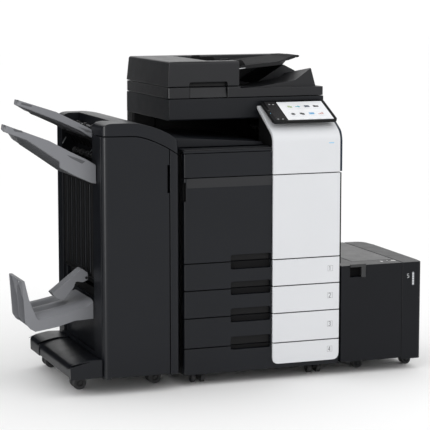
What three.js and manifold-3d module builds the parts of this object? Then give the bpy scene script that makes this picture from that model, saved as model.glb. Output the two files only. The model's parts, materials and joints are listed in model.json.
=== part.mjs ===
// Floor-standing office photocopier with an in-line staple and booklet finisher on its left
// and a large-capacity paper feeder on its right.
//
// Working frame, millimetres: X to the right with the main unit's left side at X = 0, Y to the
// back with the main unit's front covers at Y = 0, Z up from the floor. The finished group is
// moved at the end so that the origin is the bottom centre of the whole machine.

import * as THREE from 'three';
import { mergeVertices } from 'three/addons/utils/BufferGeometryUtils.js';
import Module from 'manifold-3d';

const wasm = await Module();
wasm.setup();

// ---------------------------------------------------------------- driving dimensions

const GAP = 0.3;                 // clearance between pieces that touch
const SEAM = 3;                  // visible seam between neighbouring covers
const PAST = 5;                  // how far a cutter runs past the face it opens

const MAIN = { width: 615, back: 648, floor: 44, top: 850 };
const COVER = 24;                // thickness of the front covers
const FRAME_FRONT = 28;          // front plane of the frame behind the covers
const REAR_COVER_BACK = 673;
const WHITE_LEFT = 344;          // left and right edges of the pale column
const WHITE_RIGHT = 612;
const WHITE_PROUD = 8;           // how far the pale panels stand in front of the covers
const SEAM_Z = [142, 253, 355, 455];   // upper seam of drawers 4, 3, 2 and 1
const DOOR_TOP = 768;
const GRIP = { left: 182, right: 340, depth: 16 };
const GRIP_BELOW = [15, 24, 24, 29];   // how far each grip reaches below and above its seam
const GRIP_ABOVE = [33, 28, 25, 25];

const DRAWER = { left: 28, right: 587, back: 520, wall: 5 };
const SCANNER = { front: 160, back: 670, bottom: 962, top: 1041 };
const GLASS = { left: 150, right: 560, front: 210, back: 590, thickness: 4 };
const LID = { front: 160, back: 665, bottom: 1043, top: 1083, outputTop: 1076, right: 615 };
const FEEDER = { left: -3, right: 277, arm: 165, front: 162, back: 664, top: 1178 };
const PANEL = { left: 352, width: 256, length: 151, thickness: 13, frontY: 8, frontZ: 964, tilt: 25 };
const PANEL_HINGE = { y: 130, z: 1001.5, radius: 4 };

const FIN = { left: -312, right: -25, front: -31, frame: -4, back: 567, floor: 60 };
const FIN_DOOR_RIGHT = -64;
const FOOT = { left: -432, front: -20, back: 550, floor: 64 };

const LCT = { left: 619, split: 871, front: -13, back: 526, floor: 49, skirt: 42, top: 415 };
const LCT_LID = { left: 702, front: 77, thickness: 13 };

const MAIN_WHEEL = { radius: 19, inner: 10, outer: 27, axle: 4.5 };
const FIN_WHEEL = { radius: 25, inner: 10, outer: 28, axle: 5 };
const LCT_WHEEL = { radius: 19, width: 36, axle: 3.5, ear: 4 };
const CASTER_TRAIL = 18;         // distance from swivel axis to wheel axle
const ROLLS_SIDEWAYS = Math.PI / 2;   // the finisher and the side feeder roll along X

// ---------------------------------------------------------------- materials

const finish = (color, roughness, metalness = 0) =>
  new THREE.MeshStandardMaterial({ color, roughness, metalness });
const CHARCOAL = finish(0x2b2c2e, 0.55);
const BLACK = finish(0x141416, 0.5);
const WHITE = finish(0xdfe1e4, 0.45);
const GREY = finish(0x8f9194, 0.6);
const MID_GREY = finish(0x55575a, 0.6);
const STEEL = finish(0xa9abad, 0.35, 0.9);
const TYRE = finish(0x18181a, 0.8);
const SCREEN = finish(0xf3f5f6, 0.2);
const GLAZING = finish(0x9fb2b5, 0.05);
const TONERS = {
  yellow: finish(0xd9b91e, 0.5),
  magenta: finish(0xa82a63, 0.5),
  cyan: finish(0x1f7fae, 0.5),
  black: finish(0x1b1b1d, 0.5),
};

// ---------------------------------------------------------------- solids

function toSolid(geometry) {
  const bare = geometry.clone();
  bare.deleteAttribute('normal');
  bare.deleteAttribute('uv');
  const merged = mergeVertices(bare, 1e-4);
  return new wasm.Manifold(new wasm.Mesh({
    numProp: 3,
    vertProperties: Float32Array.from(merged.attributes.position.array),
    triVerts: Uint32Array.from(merged.index.array),
  }));
}

function piece(name, solid, material) {
  const mesh = solid.getMesh();
  const geometry = new THREE.BufferGeometry();
  geometry.setAttribute('position', new THREE.BufferAttribute(mesh.vertProperties, 3));
  geometry.setIndex(new THREE.BufferAttribute(mesh.triVerts, 1));
  geometry.computeVertexNormals();
  const part = new THREE.Mesh(geometry, material);
  part.name = name;
  return part;
}

function block(x0, x1, y0, y1, z0, z1) {
  const geometry = new THREE.BoxGeometry(x1 - x0, y1 - y0, z1 - z0);
  geometry.translate((x0 + x1) / 2, (y0 + y1) / 2, (z0 + z1) / 2);
  return toSolid(geometry);
}

// Closed outline from corners [u, v] or [u, v, round]: a rounded corner starts and ends
// "round" away from the corner along its two sides.
function outline(corners) {
  const shape = new THREE.Shape();
  const count = corners.length;
  const point = (index) => new THREE.Vector2(...corners[(index + count) % count].slice(0, 2));
  corners.forEach(([, , round = 0], index) => {
    const corner = point(index);
    const towards = (other) => corner.clone().add(
      other.sub(corner).normalize().multiplyScalar(round));
    const entry = towards(point(index - 1));
    if (index === 0) shape.moveTo(entry.x, entry.y);
    else shape.lineTo(entry.x, entry.y);
    if (round > 0) {
      const exit = towards(point(index + 1));
      shape.quadraticCurveTo(corner.x, corner.y, exit.x, exit.y);
    }
  });
  shape.closePath();
  return shape;
}

// An outline extruded along an axis: (y, z) along X, (x, z) along Y, or (x, y) along Z.
function prism(axis, from, to, shape, curveSegments = 4) {
  const drawn = Array.isArray(shape) ? outline(shape) : shape;
  const geometry = new THREE.ExtrudeGeometry(drawn, {
    depth: to - from, bevelEnabled: false, curveSegments,
  });
  const turn = new THREE.Matrix4();
  if (axis === 'x') {
    turn.makeBasis(new THREE.Vector3(0, 1, 0), new THREE.Vector3(0, 0, 1), new THREE.Vector3(1, 0, 0));
    turn.setPosition(from, 0, 0);
  } else if (axis === 'y') {
    turn.makeBasis(new THREE.Vector3(1, 0, 0), new THREE.Vector3(0, 0, 1), new THREE.Vector3(0, -1, 0));
    turn.setPosition(0, to, 0);
  } else {
    turn.setPosition(0, 0, from);
  }
  geometry.applyMatrix4(turn);
  return toSolid(geometry);
}

function rod(axis, from, to, centre, radius, sides = 20) {
  const geometry = new THREE.CylinderGeometry(radius, radius, to - from, sides);
  const middle = (from + to) / 2;
  if (axis === 'x') geometry.rotateZ(Math.PI / 2).translate(middle, centre[0], centre[1]);
  if (axis === 'y') geometry.translate(centre[0], middle, centre[1]);
  if (axis === 'z') geometry.rotateX(Math.PI / 2).translate(centre[0], centre[1], middle);
  return toSolid(geometry);
}

// Rings of (radius, distance along X), turned about the X axis.
function turned(profile, sides = 16) {
  const points = profile.map(([radius, along]) => new THREE.Vector2(radius, along));
  return toSolid(new THREE.LatheGeometry(points, sides).rotateZ(-Math.PI / 2));
}

const cutAll = (solid, cutters) => cutters.reduce((left, cutter) => left.subtract(cutter), solid);
const joinAll = (solids) => solids.reduce((whole, next) => whole.add(next));

// ---------------------------------------------------------------- casters and wheels

// Two tyres on one hub, centred on the origin, axle along X.
function twinWheel({ radius, inner, outer, axle }) {
  const chamfer = 3;
  const tyre = [
    [radius - chamfer, outer], [radius, outer - chamfer],
    [radius, inner + chamfer], [radius - chamfer, inner],
  ];
  const near = tyre.map(([r, x]) => [r, -x]);
  return turned([[0, -outer], ...near, [axle, -inner], [axle, inner], ...tyre.reverse(), [0, outer]]);
}

// The leg between the two tyres: a web with a running bore for the axle and a round top plate.
// The origin is the axle's centre, and the swivel axis stands CASTER_TRAIL in front of it.
function casterLeg({ inner, axle, radius }, plateTop, trail) {
  const web = inner - 2;
  const eye = axle + 6;
  const bore = axle + 0.6;
  const plateBottom = radius + 1;
  const leg = prism('x', -web, web, [
    [-trail - 14, plateTop], [-trail - 14, plateBottom], [-eye, -eye * 0.6, 4],
    [0, -eye, 4], [eye, -eye * 0.3, 4], [eye, eye, 4], [-trail + 14, plateTop],
  ]);
  const plate = rod('z', plateBottom, plateTop, [0, -trail], 17);
  return leg.add(plate).subtract(rod('x', -web - PAST, web + PAST, [0, 0], bore));
}

// The place is where the axle stands before the caster turns about its swivel axis.
function swivelCaster(name, wheel, x, axleY, clearZ, turn = 0) {
  const group = new THREE.Group();
  const swung = new THREE.Vector2(0, CASTER_TRAIL).rotateAround(new THREE.Vector2(), turn);
  group.position.set(x + swung.x, axleY - CASTER_TRAIL + swung.y, wheel.radius);
  group.rotation.z = turn;
  group.add(piece(`${name}_leg`, casterLeg(wheel, clearZ - GAP - wheel.radius, CASTER_TRAIL), BLACK));
  group.add(piece(`${name}_wheels`, twinWheel(wheel), TYRE));
  return group;
}

function rigidWheels(name, wheel, x, axleY, turn = 0) {
  const wheels = piece(`${name}_wheels`, twinWheel(wheel), TYRE);
  wheels.position.set(x, axleY, wheel.radius);
  wheels.rotation.z = turn;
  return wheels;
}

// The same leg without its swivel, made as part of the frame above it.
function rigidLeg(wheel, x, axleY, frameZ, turn = 0) {
  return casterLeg(wheel, frameZ + 1 - wheel.radius, 0)
    .rotate([0, 0, THREE.MathUtils.radToDeg(turn)]).translate([x, axleY, wheel.radius]);
}

const MAIN_CASTERS = { left: 77, right: 542, front: 76, back: 590 };
const FIN_CASTERS = { foot: -347, body: -60, front: 148, back: 520 };
const LCT_WHEELS = [
  { name: 'front_left', x: 731, y: 97 }, { name: 'front_right', x: 938, y: 97 },
  { name: 'rear_left', x: 731, y: 470 }, { name: 'rear_right', x: 938, y: 470 },
];

// ---------------------------------------------------------------- main unit: frame and covers

const drawerBottoms = [MAIN.floor + 1, ...SEAM_Z.slice(0, 3).map((seam) => seam + SEAM / 2)];
const drawerTops = SEAM_Z.map((seam) => seam - SEAM / 2);

// The pale neck that carries the control panel: a straight front that bends back into a slope.
// A piece "inset" inside the outer surface follows the same line, (y, z).
const NECK = { wall: 14, bend: 884, footY: 20, footZ: 931.7, slope: 0.6, end: 157 };

function neckOutline(inset, low) {
  const shape = new THREE.Shape();
  const front = -WHITE_PROUD + inset;
  const drop = inset * Math.hypot(1, NECK.slope);
  const slopeZ = (y) => NECK.footZ - drop + (y - NECK.footY) * NECK.slope;
  const footY = NECK.footY + inset * 0.7;
  shape.moveTo(front, low);
  shape.lineTo(front, NECK.bend);
  shape.quadraticCurveTo(front, slopeZ(front), footY, slopeZ(footY));
  if (inset > NECK.wall / 2) {
    shape.lineTo(NECK.end, slopeZ(NECK.end));
  } else {
    shape.lineTo(NECK.end - 11, slopeZ(NECK.end - 11));
    shape.quadraticCurveTo(NECK.end, slopeZ(NECK.end), NECK.end, slopeZ(NECK.end) - 12);
  }
  shape.lineTo(NECK.end, low);
  shape.closePath();
  return shape;
}

function whiteUpperCover() {
  const low = DOOR_TOP + SEAM / 2;
  const shell = prism('x', WHITE_LEFT + GAP, WHITE_RIGHT, neckOutline(0, low), 6)
    .subtract(prism('x', 0, 2 * WHITE_RIGHT, neckOutline(NECK.wall, low - PAST), 6));
  const { y, z, radius } = PANEL_HINGE;
  const notches = [[426, 450], [510, 534]].map(
    ([from, to]) => block(from, to, y - 14, y + 14, z - 10, z + 20));
  const knuckle = rod('x', 450, 510, [y, z], radius);
  return piece('white_upper_cover', cutAll(shell, notches).add(knuckle), WHITE);
}

// Dark core behind the pale neck, with a rim that shows along the neck's right edge.
function neckCore() {
  const core = prism('x', WHITE_LEFT + 8, MAIN.width - 1, neckOutline(NECK.wall + 2, 800), 6);
  const rim = prism('x', WHITE_RIGHT + 2 * GAP, MAIN.width, neckOutline(2, DOOR_TOP + SEAM), 6);
  const ahead = block(0, MAIN.width + 1, -20, 6, 700, MAIN.top + 2);
  return core.add(rim.subtract(ahead)).intersect(block(0, MAIN.width, -20, NECK.end, MAIN.top - 20, 1100));
}

function mainFrame() {
  const ceiling = SCANNER.bottom - GAP;
  const box = block(0, MAIN.width, FRAME_FRONT, MAIN.back, MAIN.floor, MAIN.top);
  const housing = block(480, MAIN.width, 150, MAIN.back, MAIN.top - 1, ceiling);
  const backWall = block(2, 481, 612, MAIN.back, MAIN.top - 1, ceiling);
  const column = prism('z', MAIN.top - 1, ceiling, [
    [0, 594, 10], [96, 594, 10], [96, SCANNER.back - 2], [0, SCANNER.back - 2],
  ]);
  const legs = [MAIN_CASTERS.left, MAIN_CASTERS.right].map(
    (x) => rigidLeg(MAIN_WHEEL, x, MAIN_CASTERS.back, MAIN.floor));
  const bays = drawerTops.map((top, index) => block(
    DRAWER.left - 6, DRAWER.right + 6, 0, DRAWER.back + 40, drawerBottoms[index] + 6, top - 4));
  const tonerBay = block(262, 590, 0, 330, 600, 742);
  const doorRecess = block(592, MAIN.width + PAST, 60, 600, 428, 842);
  const paperExit = block(470, 500, 200, 560, 880, 920);
  const engineSpace = block(24, 588, 345, MAIN.back + PAST, 470, 826);
  const underTonerBay = block(24, 588, 60, 350, 470, 590);
  const solid = joinAll([box, housing, backWall, column, neckCore(), ...legs]);
  const spaces = [...bays, tonerBay, doorRecess, paperExit, engineSpace, underTonerBay];
  return piece('main_frame', cutAll(solid, spaces), BLACK);
}

// A front cover: rounded left edge, straight right edge.
function frontCover(left, right, zLow, zHigh) {
  return prism('z', zLow, zHigh, [[left, 0, left === 0 ? 12 : 2], [right, 0, 2], [right, COVER], [left, COVER]]);
}

// The pocket that crosses one seam, so that fingers reach behind the cover below it.
function gripCut(index) {
  const low = SEAM_Z[index] - GRIP_BELOW[index];
  const high = SEAM_Z[index] + GRIP_ABOVE[index];
  return prism('y', -PAST, GRIP.depth, [
    [GRIP.left, low, 8], [GRIP.right, low, 8], [GRIP.right, high, 8], [GRIP.left, high, 8],
  ]);
}

function drawer(number, zLow, zHigh, grips) {
  const { left, right, back, wall } = DRAWER;
  const trayLow = zLow + 8;
  const tray = block(left, right, COVER - 1, back, trayLow, zHigh - 12)
    .subtract(block(left + wall, right - wall, COVER + 4, back - wall, trayLow + wall, zHigh + PAST));
  const front = frontCover(0, MAIN.width, zLow, zHigh);
  return piece(`drawer_${number}`, cutAll(front.add(tray), grips), CHARCOAL);
}

function whitePanel(name, zLow, zHigh, footRound = 2) {
  const corners = [
    [WHITE_LEFT + GAP, zLow, footRound], [WHITE_RIGHT, zLow, footRound],
    [WHITE_RIGHT, zHigh, 2], [WHITE_LEFT + GAP, zHigh, 2],
  ];
  return piece(name, prism('y', -WHITE_PROUD, -GAP, corners), WHITE);
}

function drawers() {
  return drawerTops.flatMap((top, index) => {
    const number = drawerTops.length - index;
    const panelLow = index === 0 ? 62 : drawerBottoms[index];
    return [
      drawer(number, drawerBottoms[index], top, SEAM_Z.map((_, seam) => gripCut(seam))),
      whitePanel(`drawer_${number}_white_panel`, panelLow, top, index === 0 ? 25 : 2),
    ];
  });
}

function frontDoor() {
  const low = SEAM_Z[3] + SEAM / 2;
  const high = DOOR_TOP - SEAM / 2;
  const fingerSlot = block(-PAST, 9, -PAST, 12, 684, 752);
  const solid = cutAll(frontCover(0, MAIN.width, low, high), [
    gripCut(SEAM_Z.length - 1), fingerSlot,
  ]);
  return [
    piece('front_door', solid, CHARCOAL),
    whitePanel('front_door_white_panel', low, high),
  ];
}

function upperFrontCover() {
  return piece('upper_front_cover',
    frontCover(0, WHITE_LEFT - 1, DOOR_TOP + SEAM / 2, MAIN.top + 5), CHARCOAL);
}

function rearCover() {
  const plate = prism('z', 58, 846, [
    [4, MAIN.back + GAP], [611, MAIN.back + GAP], [611, REAR_COVER_BACK, 12], [4, REAR_COVER_BACK, 12],
  ]);
  const inlet = block(520, 552, REAR_COVER_BACK - 16, REAR_COVER_BACK + PAST, 92, 116);
  return piece('rear_cover', plate.subtract(inlet), CHARCOAL);
}

function rightDoor() {
  const panel = prism('z', 430, 840, [
    [594, 62], [MAIN.width, 62, 6], [MAIN.width, 598], [594, 598],
  ]);
  const grip = block(606, MAIN.width + PAST, 76, 96, 590, 700);
  const tray = prism('x', MAIN.width + GAP, 629, [
    [150, 560, 4], [470, 560, 4], [470, 800, 18], [150, 800, 18],
  ]).subtract(block(625, 635, 270, 350, 782, 805));
  return [
    piece('right_door', panel.subtract(grip), CHARCOAL),
    piece('bypass_tray', tray, CHARCOAL),
  ];
}

// Floor of the output space, with a front lip that follows the front cover.
function outputTray() {
  const plate = prism('x', 1, WHITE_LEFT - 1, [
    [2, MAIN.top + 7], [2, 866, 4], [40, 870], [560, 872], [560, MAIN.top + GAP],
    [COVER + 3, MAIN.top + GAP], [COVER + 3, MAIN.top + 7],
  ]);
  return piece('output_tray', plate, CHARCOAL);
}

// The bridge that carries sheets from the main unit's exit to the finisher.
function relayUnit() {
  const body = prism('y', 70, 540, [
    [-19, 873], [-19, 908, 6], [60, 904], [330, 884, 5], [338, 873],
  ]);
  return piece('relay_unit', body, CHARCOAL);
}

function tonerCartridges() {
  const floor = 600 + GAP;
  return Object.entries(TONERS).map(([colour, material], index) => {
    const bottle = prism('y', 34, 320, [
      [-30, 0, 6], [30, 0, 6], [34, 40, 12], [22, 78, 20], [-22, 78, 20], [-34, 40, 12],
    ]);
    const cartridge = piece(`toner_cartridge_${colour}`, bottle, material);
    cartridge.position.set(302 + 78 * index, 0, floor);
    return cartridge;
  });
}

function mainCasters() {
  const { left, right, front, back } = MAIN_CASTERS;
  return [
    swivelCaster('main_caster_front_left', MAIN_WHEEL, left, front, MAIN.floor),
    swivelCaster('main_caster_front_right', MAIN_WHEEL, right, front, MAIN.floor),
    rigidWheels('main_caster_rear_left', MAIN_WHEEL, left, back),
    rigidWheels('main_caster_rear_right', MAIN_WHEEL, right, back),
  ];
}

// ---------------------------------------------------------------- scanner, feeder and panel

function scannerUnit() {
  const { front, back, bottom, top } = SCANNER;
  const case_ = prism('x', 0, MAIN.width, [
    [front, bottom, 8], [back, bottom], [back, top - 4, 3], [back - 4, top], [front, top, 3],
  ]);
  const seat = block(GLASS.left - GAP, GLASS.right + GAP, GLASS.front - GAP, GLASS.back + GAP,
    top - GLASS.thickness - GAP, top + PAST);
  const window = block(GLASS.left + 10, GLASS.right - 10, GLASS.front + 10, GLASS.back - 10,
    top - 30, top);
  const carriageSpace = block(24, 590, front + 24, back - 24, bottom + 10, top - 12);
  const glass = block(GLASS.left, GLASS.right, GLASS.front, GLASS.back, top - GLASS.thickness, top);
  return [
    piece('scanner_unit', cutAll(case_, [seat, window, carriageSpace]), CHARCOAL),
    piece('platen_glass', glass, GLAZING),
  ];
}

function adfBase() {
  const { front, back, bottom, top, outputTop, right } = LID;
  const slab = prism('z', bottom, top, [
    [FEEDER.left, front, 10], [right, front, 8], [right, back, 12], [FEEDER.left, back, 12],
  ]);
  const rearWall = prism('x', FEEDER.arm + 2, 611, [
    [592, outputTop - 1], [596, FEEDER.top, 4], [652, FEEDER.top, 8], [back, outputTop - 1],
  ]);
  const low = outputTop - 1;
  const frontWedge = prism('y', 178, 345, [
    [287, low], [371, outputTop + 4], [509, 1101], [571, 1145, 3], [591, low],
  ]).intersect(prism('x', 0, right, [[178, low], [178, 1146], [345, 1118], [345, low]]));
  const rearWedge = prism('y', 400, 597, [
    [430, low], [551, 1147, 3], [599, 1123, 3], [590, low],
  ]);
  const outputStep = block(FEEDER.right + 3, right + PAST, front - PAST, 594, outputTop, top + PAST);
  const grip = block(81, 230, front - PAST, front + 18, bottom - PAST, top + PAST);
  const padRecess = block(140, 570, 190, 600, bottom - PAST, bottom + 6);
  const solid = joinAll([slab.subtract(outputStep), rearWall, frontWedge, rearWedge]);
  return piece('adf_base', cutAll(solid, [grip, padRecess]), CHARCOAL);
}

function feedCover() {
  const { left, right, arm, front, back, top } = FEEDER;
  const low = LID.top + 2;
  const body = prism('y', front, back, [
    [left, low], [left + 6, top, 8], [right, top, 10], [right, low],
  ]);
  const trimmedBack = prism('x', left - PAST, right + PAST, [
    [front, low - PAST], [front, top, 10], [back - 14, top, 10], [back, low - PAST],
  ]);
  const rearCorner = block(arm, right + PAST, 204, back + PAST, low - PAST, top + PAST);
  const inside = block(left + 12, arm - 8, front + 26, back - 24, low - PAST, top - 10);
  const mouth = block(arm - 20, arm + PAST, 216, 600, low - PAST, top - 14);
  const grip = prism('y', front - PAST, front + 18, [
    [81, low - PAST], [81, 1102, 8], [230, 1102, 8], [230, low - PAST],
  ]);
  const solid = cutAll(body.intersect(trimmedBack), [rearCorner, inside, mouth, grip]);
  return piece('adf_feed_cover', solid, CHARCOAL);
}

// Surface of the document tray: rises gently to the right.
const TRAY_SLOPE = 0.085;
const trayTop = (x) => 1142 + (x - 172) * TRAY_SLOPE;

function documentTray() {
  const plan = prism('z', 1100, 1220, [
    [172, 208], [468, 208, 8], [548, 366, 20], [596, 380, 10], [604, 440, 12],
    [596, 560, 16], [570, 588, 12], [172, 588],
  ]);
  const section = prism('y', 200, 600, [
    [172, trayTop(172) - 10], [172, trayTop(172)], [560, trayTop(560)], [575, trayTop(575) + 4],
    [610, trayTop(610) + 6], [610, trayTop(610) - 2], [560, trayTop(560) - 10],
  ]);
  return piece('adf_document_tray', plan.intersect(section), CHARCOAL);
}

function guide(name, y0, y1) {
  const low = GAP * 2;
  const fence = prism('y', y0, y1, [
    [186, trayTop(186) + low], [186, trayTop(186) + 30, 8], [318, trayTop(318) + 22, 8],
    [330, trayTop(330) + low],
  ]);
  return piece(name, fence, BLACK);
}

// The panel's local frame lies on its top face: x as the machine, y up the slope, z outwards.
function controlPanel() {
  const { left, width, length, thickness, frontY, frontZ, tilt } = PANEL;
  const body = prism('z', -thickness, 0, [
    [left, 0, 12], [left + width, 0, 12], [left + width, length, 12], [left, length, 12],
  ]);
  const screen = { x0: left + 60, x1: left + width - 14, y0: 5, y1: length - 12, deep: 2.5 };
  const seat = block(screen.x0 - GAP, screen.x1 + GAP, screen.y0 - GAP, screen.y1 + GAP, -screen.deep, PAST);
  const hinge = new THREE.Vector2(PANEL_HINGE.y - frontY, PANEL_HINGE.z - frontZ)
    .rotateAround(new THREE.Vector2(), -THREE.MathUtils.degToRad(tilt));
  const { radius } = PANEL_HINGE;
  const ears = [[430, 447], [513, 530]].map(([from, to]) => block(
    from, to, hinge.x - radius, hinge.x + radius, hinge.y, 1 - thickness,
  ).add(rod('x', from, to, [hinge.x, hinge.y], radius)));
  const group = new THREE.Group();
  group.position.set(0, frontY, frontZ);
  group.rotation.x = THREE.MathUtils.degToRad(tilt);
  group.add(piece('control_panel', joinAll([body, ...ears]).subtract(seat), BLACK));
  group.add(piece('touch_screen',
    block(screen.x0, screen.x1, screen.y0, screen.y1, GAP - screen.deep, -0.2), SCREEN));
  return group;
}

// ---------------------------------------------------------------- finisher

// The seam under the finisher's top cover falls from left to right, (x, z).
function seamCurve(shape, lower) {
  shape.lineTo(FIN.right, 857 - lower);
  shape.lineTo(-81, 891 - lower);
  shape.bezierCurveTo(-115, 907 - lower, -150, 925 - lower, -192, 930 - lower);
  shape.lineTo(FIN.left, 932 - lower);
}

function belowSeam(zLow, y0, y1, x0 = FIN.left - PAST, x1 = FIN.right) {
  const shape = new THREE.Shape();
  shape.moveTo(FIN.left, zLow);
  shape.lineTo(FIN.right, zLow);
  seamCurve(shape, SEAM);
  shape.closePath();
  return prism('y', y0, y1, shape, 6).intersect(block(x0, x1, y0 - 1, y1 + 1, zLow - 1, 1000));
}

function finisherFrame() {
  const { left, right, front, frame, back, floor } = FIN;
  const body = belowSeam(floor, frame, back, left, right);
  const pillar = prism('z', floor, 1000, [
    [FIN_DOOR_RIGHT + SEAM, front, 2], [right, front, 26], [right, frame + 1], [FIN_DOOR_RIGHT + SEAM, frame + 1],
  ]).intersect(belowSeam(floor, front, frame + 1));
  const legs = [rigidLeg(
    FIN_WHEEL, FIN_CASTERS.body - CASTER_TRAIL, FIN_CASTERS.back, floor, ROLLS_SIDEWAYS)];
  const ribs = [150, 210, 270, 330, 390, 450].map(
    (y) => block(left + 3, left + 14, y - 3, y + 3, 420, 745));
  const recess = cutAll(block(left - PAST, left + 13, 90, 500, 140, 757), ribs);
  const bay = block(-288, FIN_DOOR_RIGHT + SEAM, frame - PAST, 520, 100, 740);
  const exit = block(left - PAST, -250, 100, 500, 770, 960);
  const bookletExit = block(left - PAST, -280, 110, 490, 332, 400);
  return piece('finisher_frame', cutAll(joinAll([body, pillar, ...legs]),
    [recess, bay, exit, bookletExit]), CHARCOAL);
}

function finisherTopCover() {
  const { left, right, front, back } = FIN;
  const shape = new THREE.Shape();
  shape.moveTo(left, 932);
  shape.lineTo(left, 958);
  shape.quadraticCurveTo(left, 975, left + 36, 976);
  shape.lineTo(-215, 976);
  shape.bezierCurveTo(-160, 974, -110, 958, -62, 932);
  shape.quadraticCurveTo(-36, 917, right, 900);
  seamCurve(shape, 0);
  const plan = prism('z', 800, 1000, [
    [left, front, 24], [right, front, 30], [right, back, 12], [left, back, 12],
  ]);
  const notch = block(left - PAST, -243, 102, 498, 900, 1000);
  return piece('finisher_top_cover',
    prism('y', front, back, shape, 6).intersect(plan).subtract(notch), CHARCOAL);
}

function finisherDoor() {
  const { left, front, frame, floor } = FIN;
  const plan = prism('z', floor, 1000, [
    [left, front, 24], [FIN_DOOR_RIGHT, front, 2], [FIN_DOOR_RIGHT, frame - SEAM], [left, frame - SEAM],
  ]);
  const grip = block(FIN_DOOR_RIGHT - 8, FIN_DOOR_RIGHT + PAST, front - PAST, front + 16, 722, 823);
  return piece('finisher_front_door',
    belowSeam(floor + 4, front, frame - SEAM).intersect(plan).subtract(grip), CHARCOAL);
}

// A catch tray: side profile (x, z) with raised front and back rims, cut to a slanted plan.
function catchTray(side, floorLine, plan, y0, y1) {
  const rim = 10;
  const outer = prism('y', y0, y1, side);
  const hollow = prism('y', y0 + rim, y1 - rim, floorLine);
  return outer.subtract(hollow).intersect(prism('z', 700, 1100, plan));
}

function upperTray() {
  const front = 106;
  const back = 494;
  const end = -262;
  return piece('finisher_upper_tray', catchTray([
    [-590, 1042, 3], [-538, 1022], [-429, 978], [-356, 944], [-314, 919], [end, 899],
    [end, 921], [-311, 946], [-385, 984], [-440, 1012], [-527, 1041], [-579, 1058, 4],
  ], [
    [-470, 1010], [-385, 974], [-320, 940], [-255, 910], [-255, 960], [-385, 1050], [-470, 1050],
  ], [[end, front], [-576, front, 6], [-590, front + 18, 10], [-462, back, 20], [end, back]],
  front, back), GREY);
}

function lowerTray() {
  const front = 44;
  const back = 496;
  const end = FIN.left - 1.5;
  const tray = catchTray([
    [-653, 961, 3], [-626, 945], [-562, 921], [-447, 842], [-342, 768], [end, 759],
    [end, 824], [-345, 844], [-410, 876], [-483, 916], [-561, 946], [-642, 977, 4],
  ], [
    [-520, 921], [-410, 866], [-345, 834], [-300, 808], [-300, 900], [-410, 950], [-520, 960],
  ], [[end, front], [-640, front, 6], [-653, front + 18, 10], [-508, back, 20], [end, back]],
  front, back);
  const skirt = prism('y', front, front + 14, [
    [-447, 860], [-445, 819], [-393, 790], [-331, 761], [end, 758], [end, 800],
  ]);
  return piece('finisher_lower_tray', tray.add(skirt), GREY);
}

function finisherBase() {
  const { left, front, back, floor } = FOOT;
  const side = prism('y', front, back, [
    [left, floor, 4], [left + 3, 116, 12], [left + 34, 126, 10], [-340, 132, 10],
    [FIN.left - GAP * 2, 133], [FIN.left - GAP * 2, floor],
  ], 4);
  const plan = prism('z', 0, 200, [
    [left, front, 24], [FIN.left, front], [FIN.left, back], [left, back, 24],
  ]);
  const leg = rigidLeg(
    FIN_WHEEL, FIN_CASTERS.foot - CASTER_TRAIL, FIN_CASTERS.back, floor, ROLLS_SIDEWAYS);
  return piece('finisher_base', side.intersect(plan).add(leg), CHARCOAL);
}

function bookletTray() {
  const right = FIN.left - GAP * 4;
  const body = prism('y', 95, 350, [
    [-577, 412, 3], [-571, 265, 6], [-550, 242, 6], [-531, 227, 6], [-443, 238, 10], [-383, 256, 8],
    [right, 259], [right, 329], [-528, 280, 8], [-552, 344], [-570, 414, 3],
  ]);
  const plan = prism('z', 200, 430, [
    [-580, 95], [-566, 292, 4], [-534, 292], [-505, 350, 12], [right, 350], [right, 95],
  ]);
  const behindWall = block(-600, -500, 292, 400, 300, 430);
  const channel = (y0, y1) => prism('y', y0, y1, [
    [-520, 276], [-345, 316], [-345, 340], [-520, 300],
  ]);
  return piece('booklet_tray',
    cutAll(body.intersect(plan), [behindWall, channel(118, 190), channel(214, 286)]), GREY);
}

function bookletFlap() {
  const front = 150;
  const back = 208;
  const flap = prism('y', front, back, [
    [-446, 352, 3], [-336, 428, 8], [-315, 420], [-315, 384], [-342, 385], [-357, 365],
    [-398, 315, 6], [-432, 334, 3],
  ]);
  const underside = prism('y', front + 10, back - 10, [
    [-425, 322], [-432, 345], [-345, 402], [-330, 380], [-360, 340],
  ]);
  return piece('booklet_flap', flap.subtract(underside), GREY);
}

function finisherCasters() {
  const { front, back } = FIN_CASTERS;
  return [['left', FIN_CASTERS.foot, FOOT.floor], ['right', FIN_CASTERS.body, FIN.floor]].flatMap(
    ([side, x, clearZ]) => [
      swivelCaster(`finisher_caster_front_${side}`, FIN_WHEEL, x, front, clearZ, ROLLS_SIDEWAYS),
      rigidWheels(`finisher_caster_rear_${side}`, FIN_WHEEL, x - CASTER_TRAIL, back, ROLLS_SIDEWAYS),
    ]);
}

// ---------------------------------------------------------------- large-capacity feeder

function lctEars(x, y) {
  const { radius, width, axle, ear } = LCT_WHEEL;
  const clear = width / 2 + 1;
  return [-1, 1].map((side) => {
    const [from, to] = side < 0 ? [y - clear - ear, y - clear] : [y + clear, y + clear + ear];
    return prism('y', from, to, [
      [x - 16, LCT.floor + 1], [x - 9, radius - 9, 6], [x + 9, radius - 9, 6], [x + 16, LCT.floor + 1],
    ]).subtract(rod('y', from - 1, to + 1, [x, radius], axle + 0.6));
  });
}

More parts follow.
